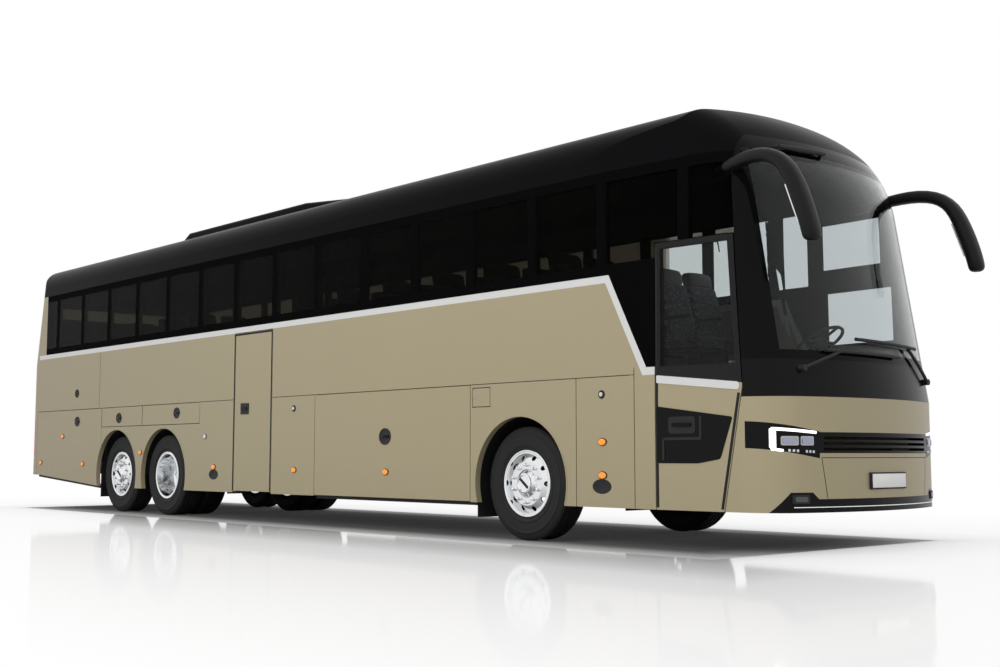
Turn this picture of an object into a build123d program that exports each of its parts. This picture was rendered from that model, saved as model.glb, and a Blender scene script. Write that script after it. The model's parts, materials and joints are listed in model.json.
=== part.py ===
from build123d import *
from math import cos, pi, radians, sin, sqrt, tan
import os

os.makedirs("parts", exist_ok=True)

# A three-axle touring coach, in millimetres.
# +X is forward, +Y is the coach's left, +Z is up, and the origin is on the ground,
# midway between the rear end and the tips of the mirrors.

# Overall sizes
BODY_WIDTH = 2550
FRONT_OVERHANG = 2930
WHEELBASE = 6750
BOGIE_SPREAD = 1350
REAR_OVERHANG = 3000
MIRROR_REACH = 235
ROOF_HEIGHT = 3640
ROOF_EDGE_HEIGHT = 3565
ROOF_EDGE_RADIUS = 300
SKIRT_HEIGHT = 330
WALL = 60

# Front and rear ends: radii in plan, lean of the glass and the curve into the roof
FRONT_RADIUS = 2800
FRONT_CORNER_RADIUS = 420
FRONT_TAPER = 4.0
FRONT_TAPER_LENGTH = 1450
FRONT_TAPER_BLEND = 4000
FRONT_LEAN = 9.5
FRONT_LEAN_HEIGHT = 1210
FRONT_ROOF_RADIUS = 1080
FRONT_ROOF_MEET = 74.0
REAR_CORNER_RADIUS = 240
REAR_LEAN = 11.0
REAR_LEAN_HEIGHT = 2130
REAR_ROOF_RADIUS = 480
REAR_ROOF_MEET = 72.0
ROOF_CURVE_STEPS = 4

# Heights along the side
FLAP_SEAM_HEIGHT = 1425
BELT_HEIGHT = 2215
BELT_MOULDING_WIDTH = 64
WINDOW_TOP = 3170
DECK_HEIGHT = 1440
DECK_THICKNESS = 50
PLATFORM_HEIGHT = 1010

# Panel breaks ahead of the front axle (negative is behind it)
ARCH_PANEL_FRONT = 721
ARCH_PANEL_REAR = -670
SERVICE_PANEL_FRONT = 1389
FUEL_FLAP_REAR = -642
FUEL_FLAP_FRONT = -394
FUEL_FLAP_FOOT = 1213
FUEL_FLAP_HEAD = 1390
ENTRY_REAR = 1604
ENTRY_FRONT_FOOT = 2262
ENTRY_FRONT_KNEE = 2440
ENTRY_FRONT_HEAD = 2350
ENTRY_KNEE_HEIGHT = 1290
ENTRY_FOOT_HEIGHT = 315
ENTRY_HEAD_HEIGHT = 2497
BELT_KINK_TOP = 1073
BELT_KINK_FOOT = 1479
BELT_KINK_FOOT_HEIGHT = 1415

# Panel breaks ahead of the drive axle (negative is behind it)
LUGGAGE_REAR = 3472
EXIT_FRONT = 2604
EXIT_REAR = 1746
LOCKER_FRONT = 944
LOCKER_BREAK = -600
LOCKER_REAR = -1823
LOCKER_FOOT_HEIGHT = 1154
QUARTER_FOOT_HEIGHT = 475
REAR_GLASS_SETBACK = 544

# Front end: windscreen, black trim, headlamps and grille
WINDSCREEN_FOOT = 1500
WINDSCREEN_TOP = 3330
LAMP_INNER_Y = 770
LAMP_LOW = 740
LAMP_HIGH = 945
LAMP_RISE = 90
LAMP_WRAP = 480
GRILLE_LOW = 780
GRILLE_HIGH = 940
GRILLE_END = 40
GRILLE_SLOT = 22
GRILLE_PITCH = 42
GRILLE_SLOTS = 3
INSERT_FOOT_Y = 1140
INSERT_SHOULDER_Y = 1020
INSERT_STEP_Y = 840
INSERT_MIDDLE_Y = 785
INSERT_END_HEIGHT = 483
INSERT_HEIGHT = 432

# Rear end: window, lamps and engine lid
REAR_GLASS_HALF = 900
REAR_GLASS_FOOT = 2330
REAR_GLASS_HEAD = 3060
ENGINE_LID_HALF = 860
ENGINE_LID_FOOT = 640
ENGINE_LID_HEAD = 1900
TAIL_LAMP_INNER = 960
TAIL_LAMP_LOW = 780
TAIL_LAMP_HIGH = 1290
LOUVRES = 8
LOUVRE_FOOT = 1330
LOUVRE_PITCH = 62
LOUVRE_SLOT = 30
LOUVRE_HALF = 700

# Frames behind the lids, stairs and the deck's front edge
FRAME_DEPTH = 30
FRAME_LAP = 30
STAIR_PLATE = 30
STAIR_FOOT = 385
STAIR_FIRST_TREAD = 380
ENTRY_STEPS = 3
ENTRY_TREAD = 270
EXIT_STEPS = 5
EXIT_TREAD = 170
DECK_FRONT = 1000
AISLE_STEP = 280
AISLE_HALF = 240
EXIT_FOOT_HEIGHT = 350
ENTRY_WINDOW_RAIL = 55
ENTRY_WINDOW_FOOT = 1475

# Underframe and luggage bay
RAIL_Y = 440
RAIL_WIDTH = 80
RAIL_LOW = 660
RAIL_HIGH = 820
RAIL_FRONT_SETBACK = 330
RAIL_REAR_SETBACK = 260
FRONT_BEAM_HALF = 620
BAY_FLOOR = 395
BAY_PLATE = 40
STAIR_WELL_Y = -60
HOUSING_INNER_Y = 580
HOUSING_RADIUS = 625
HOUSING_PLATE = 10

# Seats
SEAT_WIDTH = 440
SEAT_GAP = 20
SEAT_DEPTH = 480
SEAT_LEVEL = 460
SEAT_HEIGHT = 1150
SEAT_PAD = 120
SEAT_FOOT_HALF = 95
SEAT_RAKE = 14.0
SEAT_PITCH = 830
SEAT_AISLE_Y = 480
SEAT_FRONT_SPACE = 420
SEAT_REAR_SPACE = 800
DRIVER_X = 1480
DRIVER_Y = 640

# Engine, dashboard, steering, racks, mirrors, wipers, flaps and tow lugs
ENGINE_SETBACK = 380
ENGINE_LENGTH = 1300
ENGINE_LOW = 520
ENGINE_HIGH = 1330
DASH_REAR = 2010
DASH_STEP = 170
DASH_TOP = 1480
DASH_HOOD = 110
DASH_HOOD_HALF = 330
DASH_RIGHT_Y = -380
COLUMN_LENGTH = 520
COLUMN_RADIUS = 35
COLUMN_TILT = 32.0
STEERING_X = 1890
STEERING_HEIGHT = 760
STEERING_RADIUS = 225
STEERING_GRIP = 15
GRIP_SIDES = 8
RACK_HEIGHT = 3030
RACK_INNER_Y = 760
RACK_FRONT = 800
WIPER_LIFT = 34
WIPER_STUB_RADIUS = 26
WIPER_ARM_RADIUS = 14
FLAP_THICKNESS = 10
FLAP_INNER_Y = 820
FLAP_FOOT = 190
TOW_REACH = 200
TOW_WIDTH = 110
TOW_LOW = 440
TOW_THICKNESS = 40
TOW_PIN_RADIUS = 20

# Mirror sections: place behind the tip, distance from the middle, height, half width, half depth, tilt
MIRROR_SECTIONS = (
    (1185, 1030, 2965, 45, 30, -15), (1005, 1085, 3015, 55, 42, -12), (825, 1135, 3050, 62, 50, -8),
    (645, 1175, 3068, 66, 55, 2), (485, 1200, 3055, 70, 57, 14), (355, 1212, 3005, 75, 58, 32),
    (265, 1218, 2920, 80, 60, 52), (208, 1220, 2815, 84, 62, 66), (155, 1220, 2690, 85, 63, 70),
    (113, 1220, 2570, 85, 63, 74), (85, 1220, 2475, 84, 63, 79), (67, 1220, 2400, 80, 63, 86),
    (63, 1220, 2360, 72, 63, 90), (70, 1220, 2332, 44, 38, 90))

# Air conditioner pod, its ends given ahead of the drive axle
POD_REAR = -720
POD_FRONT = 4050
POD_REAR_SLOPE = 480
POD_FRONT_SLOPE = 1500
POD_HEIGHT = 3745
POD_WIDTH = 1700
POD_EDGE_RADIUS = 40

# Clearances; the roof section stands a little proud of the sides, so that no two faces coincide
SECTION_OVERLAP = 0.05
SEAM_WIDTH = 8
SEAM_DEPTH = 10
SHUT_GAP = 8
SEAL_GAP = 0.3
PIN_GAP = 0.3
RUN_GAP = 12

# Wheels: 295/80 R22.5 tyres on 8.25 x 22.5 rims
TYRE_RADIUS = 512
TYRE_WIDTH = 292
TREAD_WIDTH = 246
BEAD_RADIUS = 286
BEAD_WIDTH = 226
RIM_WALL = 16
WHEEL_CENTRE_Y = 1050
TWIN_OUTER_Y = 1075
TWIN_SPACING = 335
ARCH_RADIUS = 600
HAND_HOLES = 10
HAND_HOLE_RADIUS = 23
HAND_HOLE_CIRCLE = 236
NUT_RING_RADIUS = 199
FLANGE_REACH = 13
FLANGE_WIDTH = 6
FLANGE_LIFT = 14

SHOULDER_DROP = 26
DISC_OFFSET = 70
DISC_THICKNESS = 14
DISC_DISH = 46
DISC_HOLE_DEPTH = 90
HUB_RADIUS = 128
HUB_LAP = 1
HUB_INNER_Y = 1020
HUB_CAP = 30
CAP_RADIUS = 92
TWIN_HUB = 120

# Axles and knuckles
SPINDLE_END_Y = 1130
BEAM_WIDTH = 90
BEAM_DEPTH = 110
BEAM_CRANK = 250
AIR_SPRING_RADIUS = 105
DIFF_HALF = 260
DIFF_RADIUS = 215
KINGPIN_Y = 910
KINGPIN_RADIUS = 24
BOSS_RADIUS = 55
BOSS_HEIGHT = 170
FORK_THICKNESS = 34
FORK_SETBACK = 36
SPINDLE_RADIUS = 42
AXLE_TUBE_RADIUS = 75
BEAM_DROP = 60

# Door arms: plan places seen from the jamb that the door swings past
POST_SETBACK = 60
POST_INBOARD = 70
POST_RADIUS = 24
ARM_WIDTH = 36
ARM_HEIGHT = 50
ARM_EYE_OFFSET = 16
ARM_BULGE_ALONG = 25
ARM_BULGE_OUT = 187
ARM_SWING = 160
ARM_LEVELS = (600, 1300)
ENTRY_ARM_REACH = 475
EXIT_ARM_REACH = 407
ARM_PIN_RADIUS = 12
ARM_PIN_HEIGHT = 90
ENTRY_INNER_Y = 1156
POST_TOP = 1500
LUG_RADIUS = 30
LUG_THICKNESS = 16
LUG_END = 18

# Derived places
HALF_WIDTH = BODY_WIDTH / 2
REACH = REAR_OVERHANG + BOGIE_SPREAD + WHEELBASE + FRONT_OVERHANG + MIRROR_REACH
REAR_END = -REACH / 2
TAG_AXLE_X = REAR_END + REAR_OVERHANG
DRIVE_AXLE_X = TAG_AXLE_X + BOGIE_SPREAD
FRONT_AXLE_X = DRIVE_AXLE_X + WHEELBASE
FRONT_END = FRONT_AXLE_X + FRONT_OVERHANG
MIRROR_TIP_X = FRONT_END + MIRROR_REACH
INNER_HALF = HALF_WIDTH - WALL
RIGHT = -1
LEFT = 1


def block(x0, x1, y0, y1, z0, z1):
    """Box between two corners."""
    centre = Pos((x0 + x1) / 2, (y0 + y1) / 2, (z0 + z1) / 2)
    return centre * Box(abs(x1 - x0), abs(y1 - y0), abs(z1 - z0))


def plate_xz(points, y0, y1):
    """Solid with an outline of (x, z) points, from y0 to y1."""
    outline = Wire.make_polygon([(x, y0, z) for x, z in points])
    return Solid.extrude(Face(outline), Vector(0, y1 - y0, 0))


def plate_yz(points, x0, x1):
    """Solid with an outline of (y, z) points, from x0 to x1."""
    outline = Wire.make_polygon([(x0, y, z) for y, z in points])
    return Solid.extrude(Face(outline), Vector(x1 - x0, 0, 0))


def plate_xy(points, z0, z1):
    """Solid with an outline of (x, y) points, from z0 to z1."""
    outline = Wire.make_polygon([(x, y, z0) for x, y in points])
    return Solid.extrude(Face(outline), Vector(0, 0, z1 - z0))


def rod(start, end, radius):
    """Round bar between two points."""
    run = Vector(*end) - Vector(*start)
    return Solid.make_cylinder(radius, run.length, Plane(origin=start, z_dir=run))


def turned(points, x, z):
    """Solid turned about the wheel axis at (x, z), from an outline of (y, radius) points."""
    outline = Wire.make_polygon([(x, y, z + r) for y, r in points])
    return revolve(Face(outline), Axis((x, 0, z), (0, 1, 0)), 360)


def solids_of(shape):
    """Solids of a shape or a list of shapes."""
    if isinstance(shape, (list, tuple)):
        return [solid for item in shape for solid in solids_of(item)]
    return list(shape.solids())


def save(name, *shapes):
    """Write one node, made of one or more solids that don't touch."""
    solids = solids_of(shapes)
    node = solids[0] if len(solids) == 1 else Compound(solids)
    export_step(node, f"parts/{name}.step")


def mirrored(shape):
    """The same shape on the other side of the coach."""
    return shape.mirror(Plane.XZ)


def corner(wire, x, y):
    """Vertices of a flat outline at a place in plan."""
    return [v for v in wire.vertices() if abs(v.X - x) < 1 and abs(abs(v.Y) - abs(y)) < 1]


def front_outline(front, inset, z):
    """Plan outline of the front end: sides, taper, rounded corners and a shallow front arc."""
    half = HALF_WIDTH - inset
    slope = tan(radians(FRONT_TAPER))
    taper_x = front - FRONT_TAPER_LENGTH
    centre_x = front - FRONT_RADIUS
    radius = FRONT_RADIUS - inset
    back = REAR_END - FRONT_RADIUS
    level = half + taper_x * slope
    a = 1 + slope**2
    b = centre_x + level * slope
    c = centre_x**2 + level**2 - radius**2
    x = (b + sqrt(b**2 - a * c)) / a
    y = level - slope * x
    edges = [
        Edge.make_line((back, -half, z), (taper_x, -half, z)),
        Edge.make_line((taper_x, -half, z), (x, -y, z)),
        Edge.make_three_point_arc((x, -y, z), (centre_x + radius, 0, z), (x, y, z)),
        Edge.make_line((x, y, z), (taper_x, half, z)),
        Edge.make_line((taper_x, half, z), (back, half, z)),
        Edge.make_line((back, half, z), (back, -half, z)),
    ]
    wire = Wire(edges)
    wire = wire.fillet_2d(FRONT_CORNER_RADIUS - inset, corner(wire, x, y))
    wire = wire.fillet_2d(FRONT_TAPER_BLEND, corner(wire, taper_x, half))
    return Face(wire)


def rear_outline(rear, inset, z):
    """Plan outline of the rear end: straight sides and back with rounded corners."""
    half = HALF_WIDTH - inset
    back = rear + inset
    ahead = FRONT_END + FRONT_RADIUS
    wire = Wire.make_polygon([(back, -half, z), (back, half, z), (ahead, half, z), (ahead, -half, z)])
    wire = wire.fillet_2d(REAR_CORNER_RADIUS - inset, corner(wire, back, half))
    return Face(wire)


def raised_end(outline, end, inset, z0, away, lean, lean_height, radius, meet):
    """One end of the body: its outline rises upright, then leans, then curves over into the roof.

    away is +1 where the end moves along +X as it rises, and -1 where it moves along -X.
    """
    first, last = radians(lean), radians(meet)
    roof_start = ROOF_HEIGHT + WALL - radius * (sin(last) - sin(first))
    upright = Solid.extrude(outline(end, inset, z0), Vector(0, 0, lean_height - z0))
    rise = roof_start - lean_height
    shift = away * rise * tan(first)
    leaning = Solid.extrude(outline(end, inset, lean_height), Vector(shift, 0, rise))
    sections = []
    for step in range(ROOF_CURVE_STEPS + 1):
        angle = first + (last - first) * step / ROOF_CURVE_STEPS
        x = end + shift + away * radius * (cos(first) - cos(angle))
        z = roof_start + radius * (sin(angle) - sin(first))
        sections.append(outline(x, inset, z))
    return upright + leaning + loft(sections)


def body_section(inset, z0):
    """Cross-section of the body: upright sides, rounded roof edges and a crowned roof."""
    half = HALF_WIDTH - inset
    edge = ROOF_EDGE_HEIGHT - inset
    x = REAR_END - WALL
    roof = Edge.make_three_point_arc((x, -half, edge), (x, 0, ROOF_HEIGHT - inset), (x, half, edge))
    sides = [
        Edge.make_line((x, half, edge), (x, half, z0)),
        Edge.make_line((x, half, z0), (x, -half, z0)),
        Edge.make_line((x, -half, z0), (x, -half, edge)),
    ]
    wire = Wire([roof] + sides)
    wire = wire.fillet_2d(ROOF_EDGE_RADIUS - inset, [v for v in wire.vertices() if abs(v.Z - edge) < 1])
    return Solid.extrude(Face(wire), Vector(FRONT_END - REAR_END + 2 * WALL, 0, 0))


def envelope(inset, z0):
    """Everything inside the body's skin, the skin moved in by inset."""
    front = raised_end(front_outline, FRONT_END, inset, z0, -1, FRONT_LEAN, FRONT_LEAN_HEIGHT,
                       FRONT_ROOF_RADIUS, FRONT_ROOF_MEET)
    rear = raised_end(rear_outline, REAR_END, inset, z0, 1, REAR_LEAN, REAR_LEAN_HEIGHT,
                      REAR_ROOF_RADIUS, REAR_ROOF_MEET)
    return front & rear & body_section(inset - SECTION_OVERLAP, z0)


OUTER = envelope(0, SKIRT_HEIGHT)
INNER = envelope(WALL, SKIRT_HEIGHT - WALL)
SHELL = OUTER - INNER
ROOM = 2 * WALL


def front_x(value):
    """Place along X given ahead of the front axle."""
    return FRONT_AXLE_X + value


def drive_x(value):
    """Place along X given ahead of the drive axle."""
    return DRIVE_AXLE_X + value


def pillar_x(z):
    """Line of the entry door's front edge and of the windscreen pillar above it."""
    if z < ENTRY_KNEE_HEIGHT:
        share = (z - ENTRY_FOOT_HEIGHT) / (ENTRY_KNEE_HEIGHT - ENTRY_FOOT_HEIGHT)
        return front_x(ENTRY_FRONT_FOOT + share * (ENTRY_FRONT_KNEE - ENTRY_FRONT_FOOT))
    share = (z - ENTRY_KNEE_HEIGHT) / (ENTRY_HEAD_HEIGHT - ENTRY_KNEE_HEIGHT)
    return front_x(ENTRY_FRONT_KNEE + share * (ENTRY_FRONT_HEAD - ENTRY_FRONT_KNEE))


def side_piece(points, side):
    """Piece of the body wall on one side, with an outline of (x, z) points."""
    return SHELL & plate_xz(points, side * HALF_WIDTH / 2, side * (HALF_WIDTH + ROOM))


def across_piece(points):
    """Piece of the body wall right across the coach, with an outline of (x, z) points."""
    return SHELL & plate_xz(points, -HALF_WIDTH - ROOM, HALF_WIDTH + ROOM)


def rectangle(x0, x1, z0, z1):
    """Outline of a rectangle in side view."""
    return [(x0, z0), (x1, z0), (x1, z1), (x0, z1)]


# Lines that the panels share
REAR_PANEL_X = REAR_END + REAR_CORNER_RADIUS + WALL
REAR_GLASS_X = REAR_END + REAR_GLASS_SETBACK
BELT_TOP = BELT_HEIGHT + BELT_MOULDING_WIDTH
KINK_SLOPE = (BELT_KINK_FOOT - BELT_KINK_TOP) / (BELT_HEIGHT - BELT_KINK_FOOT_HEIGHT)
KINK_SHIFT = BELT_MOULDING_WIDTH * (sqrt(1 + KINK_SLOPE**2) - KINK_SLOPE)
BELT_FOOT_TOP = BELT_KINK_FOOT_HEIGHT + BELT_MOULDING_WIDTH
ENTRY_X = front_x(ENTRY_REAR)
BAY_FRONT = front_x(ARCH_PANEL_REAR) + FRAME_LAP
BAY_REAR = drive_x(EXIT_REAR) - FRAME_LAP
WAIST_FRONT_TOP = front_x(BELT_KINK_TOP)
WAIST_FRONT_FOOT = front_x(BELT_KINK_FOOT)


def belt_lower(end_x):
    """Lower edge of the belt moulding, from the rear to end_x."""
    return [(REAR_PANEL_X, BELT_HEIGHT), (WAIST_FRONT_TOP, BELT_HEIGHT),
            (WAIST_FRONT_FOOT, BELT_KINK_FOOT_HEIGHT), (end_x, BELT_KINK_FOOT_HEIGHT)]


def belt_upper(end_x):
    """Upper edge of the belt moulding, from the rear to end_x."""
    return [(REAR_PANEL_X, BELT_TOP), (WAIST_FRONT_TOP + KINK_SHIFT, BELT_TOP),
            (WAIST_FRONT_FOOT + KINK_SHIFT, BELT_FOOT_TOP), (end_x, BELT_FOOT_TOP)]


def kink_x(z):
    """Lower edge of the moulding where it runs down to the entry door."""
    return WAIST_FRONT_TOP + (BELT_HEIGHT - z) * KINK_SLOPE


def waist_panels():
    """Painted panels between the lids and the belt moulding, parted on the right by the exit door."""
    seam = FLAP_SEAM_HEIGHT
    pieces = []
    for side, starts in ((RIGHT, (REAR_PANEL_X, drive_x(EXIT_FRONT))), (LEFT, (REAR_PANEL_X,))):
        front = [(kink_x(seam), seam), (WAIST_FRONT_TOP, BELT_HEIGHT)]
        rear = starts[-1]
        pieces.append(side_piece([(rear, seam)] + front + [(rear, BELT_HEIGHT)], side))
        if len(starts) > 1:
            pieces.append(side_piece(rectangle(starts[0], drive_x(EXIT_REAR), seam, BELT_HEIGHT), side))
    return pieces


def belt_mouldings():
    """Bright moulding under the windows, which runs down ahead of the front axle."""
    right = side_piece(belt_lower(ENTRY_X) + belt_upper(ENTRY_X)[::-1], RIGHT)
    pillar_foot = (pillar_x(BELT_KINK_FOOT_HEIGHT), BELT_KINK_FOOT_HEIGHT)
    pillar_head = (pillar_x(BELT_FOOT_TOP), BELT_FOOT_TOP)
    lower = belt_lower(ENTRY_X)[:3] + [pillar_foot]
    upper = belt_upper(ENTRY_X)[:3] + [pillar_head]
    return [right, side_piece(lower + upper[::-1], LEFT)]


def side_windows():
    """Bonded side glass: it drops ahead of the moulding, and on the right it passes over the entry door."""
    top = [(pillar_x(WINDOW_TOP), WINDOW_TOP), (REAR_GLASS_X, WINDOW_TOP), (REAR_GLASS_X, BELT_TOP)]
    lower = belt_upper(ENTRY_X)[1:]
    head = [(ENTRY_X, ENTRY_HEAD_HEIGHT), (pillar_x(ENTRY_HEAD_HEIGHT), ENTRY_HEAD_HEIGHT)]
    right = side_piece(lower + head + top, RIGHT)
    pillar = [(pillar_x(BELT_FOOT_TOP), BELT_FOOT_TOP), head[1]]
    left = side_piece(lower[:-1] + pillar + top, LEFT)
    return [right, left]


def arch_cut(axle_x, side):
    """Round wheel opening in the skirt."""
    start = (axle_x, side * (INNER_HALF - WALL), TYRE_RADIUS)
    return rod(start, (axle_x, side * (HALF_WIDTH + WALL), TYRE_RADIUS), ARCH_RADIUS)


def seam_line(x0, x1, z0, z1, side):
    """Cutter for a level or upright seam groove in the side wall, between two ends of its middle line."""
    half = SEAM_WIDTH / 2
    y0, y1 = sorted((side * (HALF_WIDTH - SEAM_DEPTH), side * (HALF_WIDTH + WALL)))
    return block(x0 - half, x1 + half, y0, y1, z0 - half, z1 + half)


def service_seams(side):
    """Grooves round the service panel ahead of the front wheel, along the waist and round the fuel flap."""
    arch, service = front_x(ARCH_PANEL_FRONT), front_x(SERVICE_PANEL_FRONT)
    low, seam = SKIRT_HEIGHT - WALL, FLAP_SEAM_HEIGHT
    x0, x1 = front_x(FUEL_FLAP_REAR), front_x(FUEL_FLAP_FRONT)
    z0, z1 = FUEL_FLAP_FOOT, FUEL_FLAP_HEAD
    return [seam_line(arch, arch, low, seam, side), seam_line(service, service, low, seam, side),
            seam_line(front_x(ARCH_PANEL_REAR), service, seam, seam, side),
            seam_line(x0, x1, z0, z0, side), seam_line(x0, x1, z1, z1, side),
            seam_line(x0, x0, z0, z1, side), seam_line(x1, x1, z0, z1, side)]


def skirt_panels():
    """Fixed painted panels below the lid seam, with the wheel arches cut."""
    low, seam = SKIRT_HEIGHT, FLAP_SEAM_HEIGHT
    arch_rear = front_x(ARCH_PANEL_REAR)
    foot = BELT_KINK_FOOT_HEIGHT
    kink = [(WAIST_FRONT_FOOT, foot), (kink_x(seam), seam), (arch_rear, seam)]
    right_front = side_piece([(arch_rear, low), (ENTRY_X, low), (ENTRY_X, foot)] + kink, RIGHT)
    left_end = [(arch_rear, low), (pillar_x(low), low), (pillar_x(ENTRY_KNEE_HEIGHT), ENTRY_KNEE_HEIGHT)]
    left_front = side_piece(left_end + [(pillar_x(foot), foot)] + kink, LEFT)
    pieces = []
    for panel, side in ((right_front, RIGHT), (left_front, LEFT)):
        panel = panel - arch_cut(FRONT_AXLE_X, side)
        for groove in service_seams(side):
            panel = panel - groove
        pieces.append(panel)
    locker_rear, locker_front = drive_x(LOCKER_REAR), drive_x(LOCKER_FRONT)
    for side in (RIGHT, LEFT):
        panel = side_piece(rectangle(locker_rear, drive_x(EXIT_REAR), low, seam), side)
        panel = panel - arch_cut(DRIVE_AXLE_X, side) - arch_cut(TAG_AXLE_X, side)
        if side == RIGHT:
            lockers = plate_xz(rectangle(locker_rear, locker_front, LOCKER_FOOT_HEIGHT, seam),
                               side * (INNER_HALF - WALL), side * (HALF_WIDTH + WALL))
            panel = panel - lockers
        pieces.append(panel)
    pieces.append(side_piece(rectangle(drive_x(EXIT_FRONT), drive_x(LUGGAGE_REAR), low, seam), RIGHT))
    return pieces


def roof():
    """Roof skin with its rounded edges, over the windows and the windscreen."""
    high = ROOF_HEIGHT + WALL
    outline = [(REAR_END - WALL, WINDOW_TOP), (pillar_x(WINDOW_TOP), WINDOW_TOP),
               (pillar_x(WINDSCREEN_TOP), WINDSCREEN_TOP), (FRONT_END + WALL, WINDSCREEN_TOP),
               (FRONT_END + WALL, high), (REAR_END - WALL, high)]
    return across_piece(outline)


def air_conditioner():
    """Pod on the roof, sloped at both ends, cut to sit on the crowned roof."""
    rear, front = drive_x(POD_REAR), drive_x(POD_FRONT)
    low = ROOF_EDGE_HEIGHT - WALL
    outline = [(rear, low), (rear + POD_REAR_SLOPE, POD_HEIGHT), (front - POD_FRONT_SLOPE, POD_HEIGHT),
               (front, ROOF_HEIGHT - WALL / 2), (front, low)]
    pod = plate_xz(outline, -POD_WIDTH / 2, POD_WIDTH / 2)
    side_edges = [e for e in pod.edges() if abs(abs(e.center().Y) - POD_WIDTH / 2) < 1]
    upper = [e for e in side_edges if e.center().Z > low + WALL / 2]
    return fillet(upper, POD_EDGE_RADIUS) - OUTER


def front_zone(z0, z1):
    """Outline of a band of the front end, ahead of the pillar lines."""
    ahead = FRONT_END + WALL
    levels = [z0] + [z for z in (ENTRY_KNEE_HEIGHT,) if z0 < z < z1] + [z1]
    return [(ahead, z0)] + [(pillar_x(z), z) for z in levels] + [(ahead, z1)]


def wide_band(half, z0, z1):
    """Cutter for a level band across the front, half wide on each side."""
    mid = FRONT_END - 2 * FRONT_CORNER_RADIUS
    points = [(-half, z0), (half, z0), (half, z1), (-half, z1)]
    return plate_yz(points, mid, FRONT_END + WALL)


def insert_cut():
    """Cutter for the bumper's lower insert, whose ends rise round the fog lamps."""
    half = [(INSERT_FOOT_Y, SKIRT_HEIGHT - WALL), (INSERT_FOOT_Y, SKIRT_HEIGHT),
            (INSERT_SHOULDER_Y, INSERT_END_HEIGHT), (INSERT_STEP_Y, INSERT_END_HEIGHT),
            (INSERT_MIDDLE_Y, INSERT_HEIGHT)]
    points = half + [(-y, z) for y, z in reversed(half)]
    return plate_yz(points, FRONT_END - 2 * FRONT_CORNER_RADIUS, FRONT_END + WALL)


def headlamp_cut(side):
    """Swept headlamp opening in the front corner."""
    points = [(side * LAMP_INNER_Y, LAMP_LOW), (side * LAMP_INNER_Y, LAMP_HIGH),
              (side * HALF_WIDTH, LAMP_HIGH + LAMP_RISE), (side * HALF_WIDTH, LAMP_LOW + LAMP_RISE)]
    return plate_yz(points, FRONT_END - LAMP_WRAP, FRONT_END + WALL)


def front_end():
    """Front panels, black trim and headlamps of the lower front, each cut from the same wall."""
    lower = across_piece(front_zone(SKIRT_HEIGHT - WALL, FRONT_LEAN_HEIGHT))
    lamps = [headlamp_cut(RIGHT), headlamp_cut(LEFT)]
    grille_band = wide_band(LAMP_INNER_Y, GRILLE_LOW, GRILLE_HIGH)
    insert = insert_cut()
    painted = lower - lamps[0] - lamps[1] - grille_band - insert
    grille = lower & grille_band
    slots = [wide_band(LAMP_INNER_Y - GRILLE_END, z, z + GRILLE_SLOT) for z in
             (GRILLE_LOW + GRILLE_PITCH * n - GRILLE_SLOT for n in range(1, GRILLE_SLOTS + 1))]
    for slot in slots:
        grille = grille - slot
    trim = [grille, lower & insert, across_piece(front_zone(FRONT_LEAN_HEIGHT, WINDSCREEN_FOOT))]
    return painted, trim, [lower & lamp for lamp in lamps]


def windscreen():
    """One-piece windscreen, wrapped round to the pillar lines."""
    return across_piece(front_zone(WINDSCREEN_FOOT, WINDSCREEN_TOP))


def rear_end():
    """Rear wall with its window, lamps and the opening of the engine lid."""
    low, top = QUARTER_FOOT_HEIGHT, WINDOW_TOP
    behind = REAR_END - WALL
    outline = [(behind, low), (REAR_PANEL_X, low), (REAR_PANEL_X, BELT_TOP), (REAR_GLASS_X, BELT_TOP),
               (REAR_GLASS_X, top), (behind, top)]
    wall = across_piece(outline)
    ahead = REAR_GLASS_X + ROOM
    glass_cut = block(behind, ahead, -REAR_GLASS_HALF, REAR_GLASS_HALF, REAR_GLASS_FOOT, REAR_GLASS_HEAD)
    lid_cut = block(behind, ahead, -ENGINE_LID_HALF, ENGINE_LID_HALF, ENGINE_LID_FOOT, ENGINE_LID_HEAD)
    lamp_cuts = [block(behind, REAR_END + REAR_CORNER_RADIUS, side * TAIL_LAMP_INNER, side * HALF_WIDTH,
                       TAIL_LAMP_LOW, TAIL_LAMP_HIGH) for side in (RIGHT, LEFT)]
    glass = wall & glass_cut
    lamps = [wall & cut for cut in lamp_cuts]
    return wall - glass_cut - lid_cut - lamp_cuts[0] - lamp_cuts[1], glass, lamps


def engine_lid():
    """Top-hinged engine lid with a louvred air outlet."""
    half, gap = ENGINE_LID_HALF - SHUT_GAP, SHUT_GAP
    foot, head = ENGINE_LID_FOOT + gap, ENGINE_LID_HEAD - gap
    lid = block(REAR_END, REAR_END + WALL - SEAL_GAP, -half, half, foot, head)
    for n in range(LOUVRES):
        z = LOUVRE_FOOT + n * LOUVRE_PITCH
        slot = block(REAR_END - WALL, REAR_END + ROOM, -LOUVRE_HALF, LOUVRE_HALF, z, z + LOUVRE_SLOT)
        lid = lid - slot
    return lid


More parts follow.
